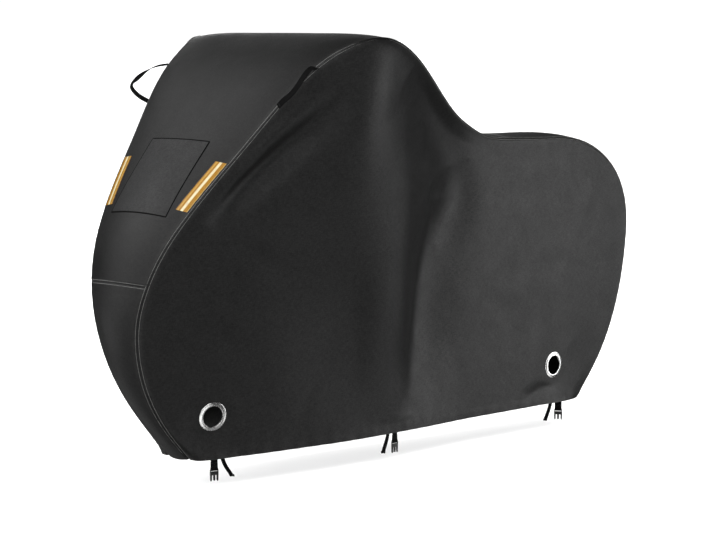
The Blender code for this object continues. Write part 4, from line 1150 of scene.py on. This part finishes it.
def buckle_half(name, top, way, down, out):
    """Half of a side-release buckle: a slotted frame, two sprung arms with barbs
    and a middle guide, with grip ridges on its face."""
    mirror = [(-a, d) for a, d in reversed(BUCKLE_OUTLINE)]
    outline = soft_corner(list(BUCKLE_OUTLINE) + mirror, 0.0012)
    slot = [(0.0109, -0.0046), (0.0109, -0.0072), (-0.0109, -0.0072), (-0.0109, -0.0046)]
    body = rounded_plate(name, [outline, soft_corner(slot, 0.0008)[::-1]], BUCKLE * 0.72, 0.0006)
    shape = bmesh.new()
    shape.from_mesh(body)
    extra = []
    for low in (-0.0096, -0.0119, -0.0142):
        for face in (1, -1):
            extra.append((0.0092, low, 0.0010, face))
    for half, at, tall, face in extra:
        steps = 7
        turn = np.linspace(0, np.pi, steps)
        section = [(at + tall / 2 * math.cos(t) * 1.1, BUCKLE * 0.33 + tall * 0.75 * math.sin(t)) for t in turn]
        ends = []
        for x in (-half, half):
            ends.append([shape.verts.new((x, d, f * face)) for d, f in section])
        for k in range(steps - 1):
            shape.faces.new([ends[0][k], ends[0][k + 1], ends[1][k + 1], ends[1][k]])
        shape.faces.new([ends[0][-1], ends[0][0], ends[1][0], ends[1][-1]])
        shape.faces.new(ends[0])
        shape.faces.new(ends[1][::-1])
    bmesh.ops.recalc_face_normals(shape, faces=shape.faces)
    shape.to_mesh(body)
    shape.free()
    columns = (way, -down, np.cross(way, -down), top)
    place = Matrix([[*row] for row in zip(*columns)] + [[0, 0, 0, 1]])
    body.transform(place)
    if place.determinant() < 0:
        body.flip_normals()
    body.shade_smooth()
    body.set_sharp_from_angle(angle=math.radians(40))
    made = bpy.data.objects.new(name, body)
    bpy.context.scene.collection.objects.link(made)
    return made


def bar_tack(path_at, run, way, face, half, length, rise):
    """A stitched box with a cross in it, on both faces of webbing."""
    runs = []
    corners = np.array([(-half, 0), (half, 0), (half, length), (-half, length), (-half, 0), (half, length)])
    cross = np.array([(half, 0), (-half, length)])
    for line in (corners, cross):
        ways = np.concatenate(
            [np.linspace(a, b, 10, endpoint=False) for a, b in zip(line[:-1], line[1:])] + [line[-1:]]
        )
        for side in (1, -1):
            points = path_at + ways[:, :1] * way + ways[:, 1:] * run + side * rise * face
            runs.append(thread_run(points, np.tile(side * face, (len(points), 1)), 0.0021, 0.0018, 0.00026))
    return runs


def hanging_straps():
    """Straps that hang from behind the hem, their buckles, and the tails beside them."""
    down = np.array([0, 0, -1.0])
    made = []
    for name, x, tail_x, lean, turn, tail_width, strap_turn in STRAPS:
        hem, along, out = hem_frame(x)
        turned = math.radians(strap_turn)
        way = along * math.cos(turned) + out * math.sin(turned)
        face = np.cross(down, way)
        face = face if face @ out > 0 else -face
        set_in = CLOTH + STRAP_CLEAR + WEBBING / 2 + abs(math.sin(turned)) * STRAP_WIDTH / 2
        start = hem - out * set_in
        lean_in = slopes(x, 0.010)[2]
        bar = STRAP_DROP + GAP + BUCKLE_BAR
        route = [(-STRAP_INSIDE, 0.0), (-0.010, 0.0), (-0.002, 0.0002), (0.005, 0.0004), (0.012, 0.0009)]
        route += [(bar - 0.0075, 0.0011), (bar - 0.0030, 0.0022)]
        for angle in np.radians((90, 50, 10, -30, -70, -90)):
            route.append((bar + 0.0030 * math.cos(angle), 0.0030 * math.sin(angle)))
        route += [(bar - 0.0032, -0.0021), (bar - 0.0075, -0.0009), (bar - 0.0150, -0.0008), (bar - 0.0205, -0.0009)]
        route = np.array(route)
        path = start + route[:, :1] * down + route[:, 1:] * face + out * (lean_in * np.clip(-route[:, :1], 0, 1))
        piece, length = band(f"webbing_strap_{name}", path, np.tile(way, (len(path), 1)), STRAP_WIDTH * 0.97, WEBBING * 0.8)
        tack = bar_tack(start + 0.0085 * down, down, way, face, 0.0078, 0.0095, 0.0019)
        tack = stitching(f"strap_stitching_{name}", tack)
        held = buckle_half(f"side_release_{name}", start + down * (STRAP_DROP + GAP) - ORIGIN, way, down, out)
        made.append(("strap", name, piece, length, [tack], held))

        hem, along, out = hem_frame(tail_x)
        turned = math.radians(turn)
        way = along * math.cos(turned) + out * math.sin(turned)
        set_in = CLOTH + STRAP_CLEAR + WEBBING / 2 + abs(math.sin(turned)) * tail_width / 2
        drops = np.linspace(-STRAP_INSIDE, TAIL_DROP - 0.0006, 15)
        below = np.clip(drops, 0, 1) / TAIL_DROP
        lean_in = slopes(tail_x, 0.010)[2] * np.clip(-drops, 0, 1)
        path = (
            hem
            - out * set_in
            + drops[:, None] * down
            + out * lean_in[:, None]
            + along * (lean * TAIL_DROP * below**1.4 * 1.6)[:, None]
            + out * (0.006 * below**2)[:, None]
        )
        # the end is turned over once and sewn
        end, before = path[-1], path[-2]
        run = unit(end - before)
        flat = unit(way - (way @ run) * run)
        face = np.cross(run, flat)
        face = face if face @ out > 0 else -face
        back = face * 0.0017
        path = np.r_[path[:-1], [end - run * 0.0006], [end + back * 0.5], [end - run * 0.0006 + back]]
        path = np.r_[path, [end - run * 0.0050 + back * 0.95], [end - run * 0.0110 + back * 0.9]]
        piece, length = band(f"webbing_tail_{name}", path, np.tile(way, (len(path), 1)), tail_width, WEBBING * 0.75)
        made.append(("tail", name, piece, length, [], None))
    return made


def fine_ring():
    """Radius and height of the ring's section: a rolled lip, a domed flange with a
    pressed line near its rim, and the washer behind the cloth."""
    points = []
    for angle in np.linspace(200, 90, 9):  # rolled lip at the bore
        points.append((RING_BORE + 0.0013 + 0.0013 * math.cos(math.radians(angle)),
                       0.0014 + GAP + 0.0011 * math.sin(math.radians(angle))))
    points += [
        (RING_BORE + 0.0030, 0.00245 + GAP),
        (RING_BORE + 0.0046, 0.00225 + GAP),
        (RING_BORE + 0.0060, 0.00195 + GAP),
        (RING_BORE + 0.0075, 0.00170 + GAP),
        (RING_BORE + 0.0083, 0.00135 + GAP),
        (RING_BORE + 0.0091, 0.00120 + GAP),
        (RING_BORE + 0.0099, 0.00115 + GAP),
        (RING_OUTER - 0.0006, 0.00095 + GAP),
        (RING_OUTER - 0.0001, 0.00055 + GAP),
        (RING_OUTER - 0.0003, 0.00005 + GAP),
        (RING_OUTER - 0.0016, 0.0 + GAP),
        (RING_BARREL, GAP),
        (RING_BARREL, -CLOTH - GAP),
        (RING_OUTER - 0.0032, -CLOTH - GAP),
        (RING_OUTER - 0.0030, -CLOTH - GAP - 0.0007),
        (RING_OUTER - 0.0036, -CLOTH - GAP - 0.0012),
        (RING_BORE + 0.0012, -CLOTH - GAP - 0.0013),
        (RING_BORE + 0.0003, -CLOTH - GAP - 0.0010),
    ]
    return points


def eyelet_rings():
    made = []
    profile = fine_ring()
    turns = np.linspace(0, 2 * np.pi, 96, endpoint=False)
    count = len(profile)
    points = np.array([(r * math.cos(a), r * math.sin(a), h) for a in turns for r, h in profile])
    faces = []
    for k in range(96):
        for m in range(count):
            a, b = k * count + m, k * count + (m + 1) % count
            c, d = ((k + 1) % 96) * count + (m + 1) % count, ((k + 1) % 96) * count + m
            faces.append((a, b, c, d))
    for name, _, _ in EYELETS:
        for side, flip in (("left", 1), ("right", -1)):
            mesh = bpy.data.meshes.new(f"ring_{name}_{side}")
            mesh.from_pydata(points.tolist(), [], faces)
            x, z, out, along, up = EYELET_PLANES[name]
            across = unit(np.array([1.0, -along, 0.0]))
            normal = unit(np.cross(across, np.array([0.0, -up, 1.0])))
            turn = np.array([1, flip, 1])
            centre = np.array([x, -out, z]) * turn - ORIGIN
            across, normal = across * turn, normal * turn
            columns = (across, np.cross(normal, across), normal, centre)
            mesh.transform(Matrix([[*row] for row in zip(*columns)] + [[0, 0, 0, 1]]))
            shape = bmesh.new()
            shape.from_mesh(mesh)
            bmesh.ops.recalc_face_normals(shape, faces=shape.faces)
            shape.to_mesh(mesh)
            shape.free()
            mesh.shade_smooth()
            mesh.set_sharp_from_angle(angle=math.radians(42))
            ring = bpy.data.objects.new(f"ring_{name}_{side}", mesh)
            bpy.context.scene.collection.objects.link(ring)
            made.append((ring, f"{name}_{side}"))
    return made


# ------------------------------------------------------------------ materials
class Paint:
    """A node material built step by step."""

    def __init__(self, name, colour, roughness, metallic=0.0, level=0.5):
        self.material = bpy.data.materials.new(name)
        self.material.use_nodes = True
        self.tree = self.material.node_tree
        self.shader = self.tree.nodes["Principled BSDF"]
        self.shader.inputs["Base Color"].default_value = (*colour, 1.0)
        self.shader.inputs["Roughness"].default_value = roughness
        self.shader.inputs["Metallic"].default_value = metallic
        self.shader.inputs["Specular IOR Level"].default_value = level
        self.where = self.tree.nodes.new("ShaderNodeTexCoord")
        self.normal = None

    def put(self, kind, **settings):
        node = self.tree.nodes.new(kind)
        for key, value in settings.items():
            setattr(node, key, value)
        return node

    def feed(self, socket, value):
        if isinstance(value, bpy.types.NodeSocket):
            self.tree.links.new(value, socket)
        else:
            socket.default_value = value

    def sum(self, operation, *values):
        node = self.put("ShaderNodeMath", operation=operation)
        for socket, value in zip(node.inputs, values):
            self.feed(socket, value)
        return node.outputs[0]

    def ramp(self, value, low, high, to_low, to_high):
        node = self.put("ShaderNodeMapRange")
        for key, this in (("Value", value), ("From Min", low), ("From Max", high), ("To Min", to_low), ("To Max", to_high)):
            self.feed(node.inputs[key], this)
        return node.outputs[0]

    def noise(self, scale, detail=2.0, stretch=None, uv=False, roughness=0.5):
        node = self.put("ShaderNodeTexNoise")
        where = self.where.outputs["UV" if uv else "Object"]
        if stretch:
            mapping = self.put("ShaderNodeMapping")
            mapping.inputs["Scale"].default_value = stretch
            self.tree.links.new(where, mapping.inputs["Vector"])
            where = mapping.outputs[0]
        self.tree.links.new(where, node.inputs["Vector"])
        node.inputs["Scale"].default_value = scale
        node.inputs["Detail"].default_value = detail
        node.inputs["Roughness"].default_value = roughness
        return node.outputs["Fac"]

    def across_along(self):
        node = self.put("ShaderNodeSeparateXYZ")
        self.tree.links.new(self.where.outputs["UV"], node.inputs[0])
        return node.outputs["X"], node.outputs["Y"]

    def weave(self, pitch, rows=None):
        """Height of a plain weave of round yarns, 0 to 1."""
        a, b = self.across_along()
        wave_a = self.sum("SINE", self.sum("MULTIPLY", a, math.pi / pitch))
        wave_b = self.sum("SINE", self.sum("MULTIPLY", b, math.pi / (rows or pitch)))
        over = self.sum("GREATER_THAN", self.sum("MULTIPLY", wave_a, wave_b), 0.0)
        round_a, round_b = self.sum("ABSOLUTE", wave_a), self.sum("ABSOLUTE", wave_b)
        first = self.sum("MULTIPLY", round_a, over)
        second = self.sum("MULTIPLY", round_b, self.sum("SUBTRACT", 1.0, over))
        return self.sum("ADD", first, second)

    def mix(self, share, low, high):
        node = self.put("ShaderNodeMix", data_type="RGBA")
        self.feed(node.inputs[0], share)
        for socket, colour in ((node.inputs[6], low), (node.inputs[7], high)):
            self.feed(socket, colour if isinstance(colour, bpy.types.NodeSocket) else (*colour, 1.0))
        return node.outputs[2]

    def bump(self, height, distance, strength=1.0):
        node = self.put("ShaderNodeBump")
        node.inputs["Strength"].default_value = strength
        node.inputs["Distance"].default_value = distance
        self.tree.links.new(height, node.inputs["Height"])
        if self.normal is not None:
            self.tree.links.new(self.normal, node.inputs["Normal"])
        self.normal = node.outputs[0]

    def done(self, colour=None, roughness=None):
        if colour is not None:
            self.tree.links.new(colour, self.shader.inputs["Base Color"])
        if roughness is not None:
            self.tree.links.new(roughness, self.shader.inputs["Roughness"])
        if self.normal is not None:
            self.tree.links.new(self.normal, self.shader.inputs["Normal"])
        return self.material


def cloth_paint(name, dark, light, worn, gloss=(0.40, 0.49), level=0.31, pitch=0.0011, relief=1.0):
    """Coated woven cloth: yarn relief with thick places along both ways of the
    weave, a mottled coating, rubbed lighter on its edges."""
    paint = Paint(name, dark, 0.55, level=level)
    yarns = paint.weave(pitch)
    mottle = paint.noise(240.0, 3.0)
    patches = paint.noise(17.0, 3.0)
    broad = paint.noise(3.2, 2.0)
    warp = paint.noise(1.0, 3.0, stretch=(85.0, 420.0, 1.0), uv=True, roughness=0.6)
    weft = paint.noise(1.0, 3.0, stretch=(420.0, 110.0, 1.0), uv=True, roughness=0.6)
    blots = paint.noise(75.0, 3.0, roughness=0.6)
    slubs = paint.sum("ADD", paint.sum("ADD", warp, weft), paint.sum("MULTIPLY", blots, 0.5))  # about 1.25
    share = paint.ramp(mottle, 0.36, 0.64, 0.0, 1.0)
    share = paint.sum("ADD", paint.sum("MULTIPLY", share, 0.30), paint.sum("MULTIPLY", paint.ramp(patches, 0.3, 0.7, 0.0, 1.0), 0.16))
    share = paint.sum("ADD", share, paint.sum("MULTIPLY", paint.ramp(slubs, 1.0, 1.5, 0.0, 1.0), 0.40))
    share = paint.sum("ADD", share, paint.sum("MULTIPLY", paint.ramp(broad, 0.3, 0.7, 0.0, 1.0), 0.12))
    share = paint.sum("MULTIPLY", share, paint.ramp(yarns, 0.0, 1.0, 0.72, 1.12))
    colour = paint.mix(share, dark, light)
    rubbed = paint.put("ShaderNodeAttribute", attribute_name="rubbed")
    rub = paint.sum("MULTIPLY", rubbed.outputs["Fac"], paint.ramp(paint.noise(95.0, 3.0), 0.35, 0.65, 0.25, 1.0))
    colour = paint.mix(rub, colour, worn)
    rough = paint.ramp(paint.sum("ADD", mottle, patches), 0.7, 1.3, gloss[0], gloss[1])
    sheen = paint.ramp(slubs, 1.0, 1.5, (1 - 0.26 * relief) * level, (1 + 0.26 * relief) * level)
    paint.tree.links.new(sheen, paint.shader.inputs["Specular IOR Level"])
    paint.bump(patches, 0.0007 * relief, 0.6)
    paint.bump(slubs, 0.00010 * relief, 0.7)
    paint.bump(mottle, 0.00014 * relief, 0.8)
    paint.bump(yarns, 0.00005, 0.8)
    return paint.done(colour, rough)


def thread_paint(name, dark, light, roughness=0.6, level=0.35):
    paint = Paint(name, dark, roughness, level=level)
    strands = paint.noise(900.0, 2.0)
    fade = paint.noise(14.0, 2.0)
    share = paint.sum("ADD", paint.sum("MULTIPLY", strands, 0.5), paint.sum("MULTIPLY", fade, 0.5))
    colour = paint.mix(paint.ramp(share, 0.35, 0.65, 0.0, 1.0), dark, light)
    paint.bump(strands, 0.0002, 0.6)
    return paint.done(colour, paint.ramp(fade, 0.3, 0.7, roughness - 0.08, roughness + 0.1))


def webbing_paint(name, dark, light):
    """Woven webbing: ribs across it, finer yarns along it."""
    paint = Paint(name, dark, 0.6, level=0.07)
    across, along = paint.across_along()
    ribs = paint.sum("ABSOLUTE", paint.sum("SINE", paint.sum("MULTIPLY", along, math.pi / 0.0016)))
    cords = paint.sum("ABSOLUTE", paint.sum("SINE", paint.sum("MULTIPLY", across, math.pi / 0.0013)))
    yarn = paint.sum("ADD", paint.sum("MULTIPLY", ribs, 0.6), paint.sum("MULTIPLY", cords, 0.4))
    fuzz = paint.noise(500.0, 3.0)
    fade = paint.noise(30.0, 2.0)
    share = paint.sum("ADD", paint.sum("MULTIPLY", yarn, 0.5), paint.sum("MULTIPLY", fade, 0.4))
    colour = paint.mix(paint.ramp(share, 0.2, 0.9, 0.0, 1.0), dark, light)
    paint.bump(yarn, 0.0003, 0.9)
    paint.bump(fuzz, 0.0002, 0.4)
    return paint.done(colour, paint.ramp(fuzz, 0.3, 0.7, 0.58, 0.74))


def strip_paint(name):
    """Reflective tape: printed bands under a clear face with a fine prism grid; its brown inner edge is a painted
    shadow, its pale middle band a painted highlight and its amber seam-side edge a painted highlight.
    """
    paint = Paint(name, (0.9, 0.5, 0.1), 0.3, level=0.3)
    across, along = paint.across_along()
    wobble = paint.sum("MULTIPLY", paint.sum("SUBTRACT", paint.noise(60.0, 2.0), 0.5), 0.0010)
    place = paint.sum("DIVIDE", paint.sum("ADD", across, wobble), STRIP_WIDTH)
    ramp = paint.put("ShaderNodeValToRGB")
    ramp.color_ramp.interpolation = "LINEAR"
    painted_shadow_brown, gold, deep, painted_highlight_pale, amber = (0.075, 0.034, 0.010), (0.47, 0.225, 0.016), (0.36, 0.165, 0.010), (0.95, 0.86, 0.56), (0.66, 0.40, 0.10)
    # painted shade and light: the brown stops at the inner edge are a painted shadow of the strip's edge, the pale
    # stops a painted highlight down its middle, and the last amber stop a painted highlight along the seam-side edge
    stops = (
        (0.00, painted_shadow_brown), (0.05, painted_shadow_brown), (0.09, gold), (0.22, amber), (0.30, gold), (0.37, deep), (0.41, amber),
        (0.46, painted_highlight_pale), (0.62, painted_highlight_pale), (0.67, amber), (0.71, deep), (0.78, gold), (0.92, gold), (0.97, amber),
    )
    bands = ramp.color_ramp.elements
    while len(bands) < len(stops):
        bands.new(0.5)
    for band_stop, (at, colour) in zip(bands, stops):
        band_stop.position = at
        band_stop.color = (*colour, 1.0)
    paint.tree.links.new(place, ramp.inputs["Fac"])
    cells = paint.put("ShaderNodeTexVoronoi", feature="DISTANCE_TO_EDGE")
    paint.tree.links.new(paint.where.outputs["UV"], cells.inputs["Vector"])
    cells.inputs["Scale"].default_value = 520.0
    cells.inputs["Randomness"].default_value = 0.25
    grid = paint.ramp(cells.outputs["Distance"], 0.0, 0.12, 0.0, 1.0)
    dirt = paint.ramp(paint.noise(85.0, 4.0), 0.42, 0.75, 0.0, 0.30)
    colour = paint.mix(dirt, ramp.outputs["Color"], (0.30, 0.14, 0.04))
    colour = paint.mix(paint.ramp(grid, 0.0, 1.0, 0.16, 0.0), colour, (0.35, 0.16, 0.04))
    paint.shader.inputs["Coat Weight"].default_value = 0.2
    paint.shader.inputs["Coat Roughness"].default_value = 0.12
    paint.bump(grid, 0.00008, 0.6)
    paint.bump(paint.noise(45.0, 2.0), 0.0008, 0.4)
    return paint.done(colour, paint.ramp(dirt, 0.0, 0.3, 0.24, 0.42))


def ring_paint(name):
    """Nickel-plated steel: faint turning marks, small scuffs, duller in places."""
    paint = Paint(name, (0.86, 0.86, 0.85), 0.2, metallic=1.0)
    dull = paint.noise(38.0, 4.0)
    scuffs = paint.noise(420.0, 3.0, stretch=(1.0, 1.0, 5.0))
    colour = paint.mix(paint.ramp(dull, 0.35, 0.75, 0.0, 0.6), (0.90, 0.90, 0.89), (0.66, 0.66, 0.66))
    rough = paint.ramp(paint.sum("ADD", dull, scuffs), 0.7, 1.35, 0.14, 0.38)
    paint.bump(scuffs, 0.00006, 0.5)
    paint.bump(paint.noise(60.0, 2.0), 0.0004, 0.25)
    return paint.done(colour, rough)


def plastic_paint(name):
    """Moulded black plastic: fine spark texture and polished rubs."""
    paint = Paint(name, (0.012, 0.012, 0.013), 0.35, level=0.5)
    grain = paint.noise(2600.0, 2.0)
    rubs = paint.noise(110.0, 3.0)
    colour = paint.mix(paint.ramp(rubs, 0.35, 0.7, 0.0, 1.0), (0.010, 0.010, 0.011), (0.024, 0.024, 0.025))
    paint.bump(grain, 0.00006, 0.6)
    return paint.done(colour, paint.ramp(rubs, 0.3, 0.7, 0.28, 0.46))


def wear_in(made, amount):
    """How rubbed each point of a cloth piece is, kept on its mesh."""
    layer = made.data.color_attributes.new("rubbed", "FLOAT_COLOR", "POINT")
    value = np.repeat(np.clip(amount, 0, 1)[:, None], 4, axis=1).astype(np.float32)
    value[:, 3] = 1.0
    layer.data.foreach_set("color", value.ravel())


def points_of(made):
    found = np.empty(len(made.data.vertices) * 3, np.float32)
    made.data.vertices.foreach_get("co", found)
    return found.reshape(-1, 3) + ORIGIN


# ------------------------------------------------------------------ studio
def camera():
    held = bpy.data.objects.new("camera", bpy.data.cameras.new("camera"))
    held.data.sensor_width = 36.0
    held.data.lens = 120.67
    held.data.clip_end = 400.0
    held.location = (-4.4451, -4.8830, 0.0425)
    held.rotation_euler = (math.radians(84.0), 0.0, math.radians(-44.0))
    bpy.context.scene.collection.objects.link(held)
    bpy.context.scene.camera = held


def softbox(name, azimuth, height, distance, size, power, target=(0.3, 0.0, -0.6), colour=(1, 1, 1)):
    light = bpy.data.lights.new(name, "AREA")
    light.shape = "RECTANGLE"
    light.size, light.size_y = size
    light.energy = power
    light.color = colour
    made = bpy.data.objects.new(name, light)
    a, h = math.radians(azimuth), math.radians(height)
    away = Vector((math.cos(a) * math.cos(h), math.sin(a) * math.cos(h), math.sin(h)))
    made.location = Vector(target) + away * distance
    made.rotation_euler = away.to_track_quat("Z", "Y").to_euler()
    made.visible_camera = False
    bpy.context.scene.collection.objects.link(made)
    return made


FLOOR = -1.205
DIM, DIM_BELOW = 0.0, 0.0  # how bright the studio is, above and below the horizon, to the cloth
SOFTBOX_FAR = 9.0
SOFTBOXES = (
    # name, azimuth, height, size, power
    ("tail_side", -36.0, -6.0, (2.6, 3.0), 138.0),
    ("tail_side_upper", -44.0, 9.0, (2.6, 2.6), 96.0),
    ("tail_side_lower", -46.0, -26.0, (2.8, 2.8), 24.0),
    ("tail_side_lowest", -36.0, -38.0, (3.0, 3.0), 12.0),
    ("tail_high", 15.0, 36.0, (3.6, 3.0), 30.0),
    ("broadside", -103.0, 14.0, (3.0, 3.0), 100.0),
    ("broadside_low", -98.0, -18.0, (3.0, 3.0), 46.0),
    ("nose_side", -140.0, 12.0, (3.4, 3.0), 57.0),
    ("nose", -162.0, 9.0, (3.4, 3.0), 61.0),
    ("nose_low", 165.0, -12.0, (3.0, 3.0), 17.0),
    ("nose_side_high", -156.0, 36.0, (3.4, 3.4), 121.0),
    ("nose_high", -174.0, 38.0, (3.4, 3.4), 125.0),
    ("nose_overhead", -160.0, 58.0, (3.4, 3.4), 153.0),
    ("overhead", -135.0, 72.0, (3.4, 3.4), 141.0),
    ("far_side_high", 105.0, 42.0, (5.0, 4.0), 66.0),
    ("far_side_nose", 133.0, 34.0, (5.0, 4.0), 146.0),
    ("far_side_low", 148.0, 8.0, (5.0, 4.0), 117.0),
    ("far_side_lower", 128.0, -16.0, (3.4, 3.0), 53.0),
    ("far_side_tail", 56.0, 24.0, (5.0, 3.5), 27.0),
    ("far_broadside", 62.0, 6.0, (3.2, 2.6), 170.0),
    ("under_broadside", -60.0, -44.0, (6.0, 5.0), 20.0),
    ("under_nose_side", -120.0, -40.0, (6.0, 5.0), 126.0),
    ("under_nose", 170.0, -40.0, (6.0, 5.0), 74.0),
    ("under_far_side", 100.0, -40.0, (6.0, 5.0), 45.0),
)


def studio():
    size = 90.0
    floor = add_mesh(
        "floor",
        [(-size, -size, FLOOR), (size, -size, FLOOR), (size, size, FLOOR), (-size, size, FLOOR)],
        [(0, 1, 2, 3)],
        shift=False,
    )
    floor.visible_glossy = False
    floor.visible_diffuse = False
    floor.visible_shadow = False
    paint = Paint("pale_floor", (0.93, 0.93, 0.93), 0.9, level=0.1)
    grain = paint.noise(3.0, 3.0)
    floor.data.materials.append(
        paint.done(paint.mix(grain, (0.90, 0.90, 0.90), (0.96, 0.96, 0.96)), paint.ramp(grain, 0.3, 0.7, 0.85, 0.95))
    )
    lit = bpy.data.collections.new("floor_only")
    lit.objects.link(floor)
    sun = bpy.data.lights.new("floor_light", "SUN")
    sun.energy = 3.6
    sun.angle = math.radians(70)
    above = bpy.data.objects.new("floor_light", sun)
    above.rotation_euler = (math.radians(12), math.radians(8), 0.0)
    bpy.context.scene.collection.objects.link(above)
    above.light_linking.receiver_collection = lit
    fill_sun = bpy.data.lights.new("floor_fill", "SUN")
    fill_sun.energy = 2.4
    fill_sun.use_shadow = False
    even = bpy.data.objects.new("floor_fill", fill_sun)
    bpy.context.scene.collection.objects.link(even)
    even.light_linking.receiver_collection = lit

    world = bpy.data.worlds.new("studio")
    world.use_nodes = True
    tree = world.node_tree
    back = tree.nodes["Background"]
    seen, fill = back, tree.nodes.new("ShaderNodeBackground")
    seen.inputs["Color"].default_value = (1.0, 1.0, 1.0, 1.0)
    seen.inputs["Strength"].default_value = 1.05
    fill.inputs["Color"].default_value = (1.0, 1.0, 1.0, 1.0)
    where = tree.nodes.new("ShaderNodeTexCoord")
    split = tree.nodes.new("ShaderNodeSeparateXYZ")
    tree.links.new(where.outputs["Generated"], split.inputs[0])
    spread = tree.nodes.new("ShaderNodeMapRange")
    tree.links.new(split.outputs["Z"], spread.inputs["Value"])
    for key, value in (("From Min", -0.22), ("From Max", -0.02), ("To Min", DIM_BELOW), ("To Max", DIM)):
        spread.inputs[key].default_value = value
    tree.links.new(spread.outputs[0], fill.inputs["Strength"])
    path = tree.nodes.new("ShaderNodeLightPath")
    mixed = tree.nodes.new("ShaderNodeMixShader")
    tree.links.new(path.outputs["Is Camera Ray"], mixed.inputs[0])
    tree.links.new(fill.outputs[0], mixed.inputs[1])
    tree.links.new(seen.outputs[0], mixed.inputs[2])
    tree.links.new(mixed.outputs[0], tree.nodes["World Output"].inputs["Surface"])
    bpy.context.scene.world = world
    for name, azimuth, height, size, power in SOFTBOXES:
        softbox(name, azimuth, height, SOFTBOX_FAR, size, power)
    view = bpy.context.scene.view_settings
    view.view_transform = "Standard"
    view.look = "None"
    view.exposure = 0.0
    view.gamma = 1.0


# ------------------------------------------------------------------ the cover
camera()
studio()

CLOTH_PAINT = cloth_paint("coated_cloth", (0.0055, 0.0055, 0.0056), (0.0125, 0.0124, 0.0122), (0.030, 0.0295, 0.029))
TAUT_PAINT = cloth_paint("taut_cloth", (0.0055, 0.0055, 0.0056), (0.0125, 0.0124, 0.0122), (0.030, 0.0295, 0.029), relief=0.5)  # pulled smooth over the front
PATCH_PAINT = cloth_paint("patch_cloth", (0.010, 0.010, 0.0105), (0.019, 0.019, 0.019), (0.045, 0.045, 0.045), gloss=(0.40, 0.52), pitch=0.0009)
# near-black border thread: painted shade along the patch's raised edge
BORDER_SHADE_PAINT = thread_paint("border_thread_painted_shade", (0.0012, 0.0012, 0.0012), (0.0040, 0.0040, 0.0040), 0.74, 0.10)
THREAD_PAINT = thread_paint("seam_thread", (0.20, 0.20, 0.195), (0.36, 0.36, 0.35))
DARK_THREAD_PAINT = thread_paint("hem_thread", (0.010, 0.010, 0.010), (0.028, 0.028, 0.028))
WEBBING_PAINT = webbing_paint("black_webbing", (0.0018, 0.0018, 0.0019), (0.0060, 0.0060, 0.0060))
STRIP_PAINT = strip_paint("reflective_tape")
RING_PAINT = ring_paint("ring_metal")
PLASTIC_PAINT = plastic_paint("buckle_plastic")


def fit(made, paint, slot, *nodes):
    made.data.materials.clear()
    made.data.materials.append(paint)
    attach(made, "root")
    if nodes:
        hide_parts(*nodes)
    return made


sides, side_area = side_panels()
for piece, node in zip(sides, ("side_panel_left", "side_panel_right")):
    found = points_of(piece)
    found = found * np.array([1, -np.sign(found[:, 1].mean()) , 1])
    far, _ = near_seam(SEAM_TREE, found, 0.06)
    rub = 0.55 * np.exp(-(((far - 0.0085) / 0.0045) ** 2)) + 0.35 * np.exp(-((found[:, 2] / 0.004) ** 2))
    wear_in(piece, rub)
    fit(piece, CLOTH_PAINT, "cloth", node)

for (piece, width, length, area), node in zip(
    gusset_pieces(), ("gusset_front_lower", "gusset_top", "gusset_rear")
):
    found = points_of(piece)
    found = found * np.array([1, -1, 1]) * np.where(found[:, 1:2] > 0, 1, -1) ** np.array([0, 1, 0])
    far, _ = near_seam(SEAM_TREE, found, 0.06)
    wear_in(piece, 0.6 * np.exp(-(((far - 0.0085) / 0.0045) ** 2)))
    fit(piece, TAUT_PAINT, "cloth", node)

for piece in all_stitching():
    fit(piece, THREAD_PAINT, "cloth")
fit(hem_stitching(), DARK_THREAD_PAINT, "cloth")

patch, border = bare_patch()
wear_in(patch, np.zeros(len(patch.data.vertices)))
fit(patch, PATCH_PAINT, "patch_cloth", "badge_patch")
fit(border, BORDER_SHADE_PAINT, "patch_cloth")

strips, strip_thread = reflective_strips()
fit(strip_thread, DARK_THREAD_PAINT, "reflective")
for piece, side in zip(strips, ("left", "right")):
    fit(piece, STRIP_PAINT, "reflective", f"reflective_strip_{side}")

loops, loop_thread = handle_loops()
fit(loop_thread, DARK_THREAD_PAINT, "webbing")
for (piece, length), side in zip(loops, ("left", "right")):
    fit(piece, WEBBING_PAINT, "webbing", f"handle_loop_{side}")

for kind, name, piece, length, threads, held in hanging_straps():
    fit(piece, WEBBING_PAINT, "webbing", f"{kind}_{name}")
    width = STRAP_WIDTH * 0.97 if kind == "strap" else [row for row in STRAPS if row[0] == name][0][5]
    for thread in threads:
        fit(thread, DARK_THREAD_PAINT, "webbing")
    if held is not None:
        fit(held, PLASTIC_PAINT, "buckle_plastic", f"buckle_{name}")

for ring, node in eyelet_rings():
    fit(ring, RING_PAINT, "ring_metal", node)
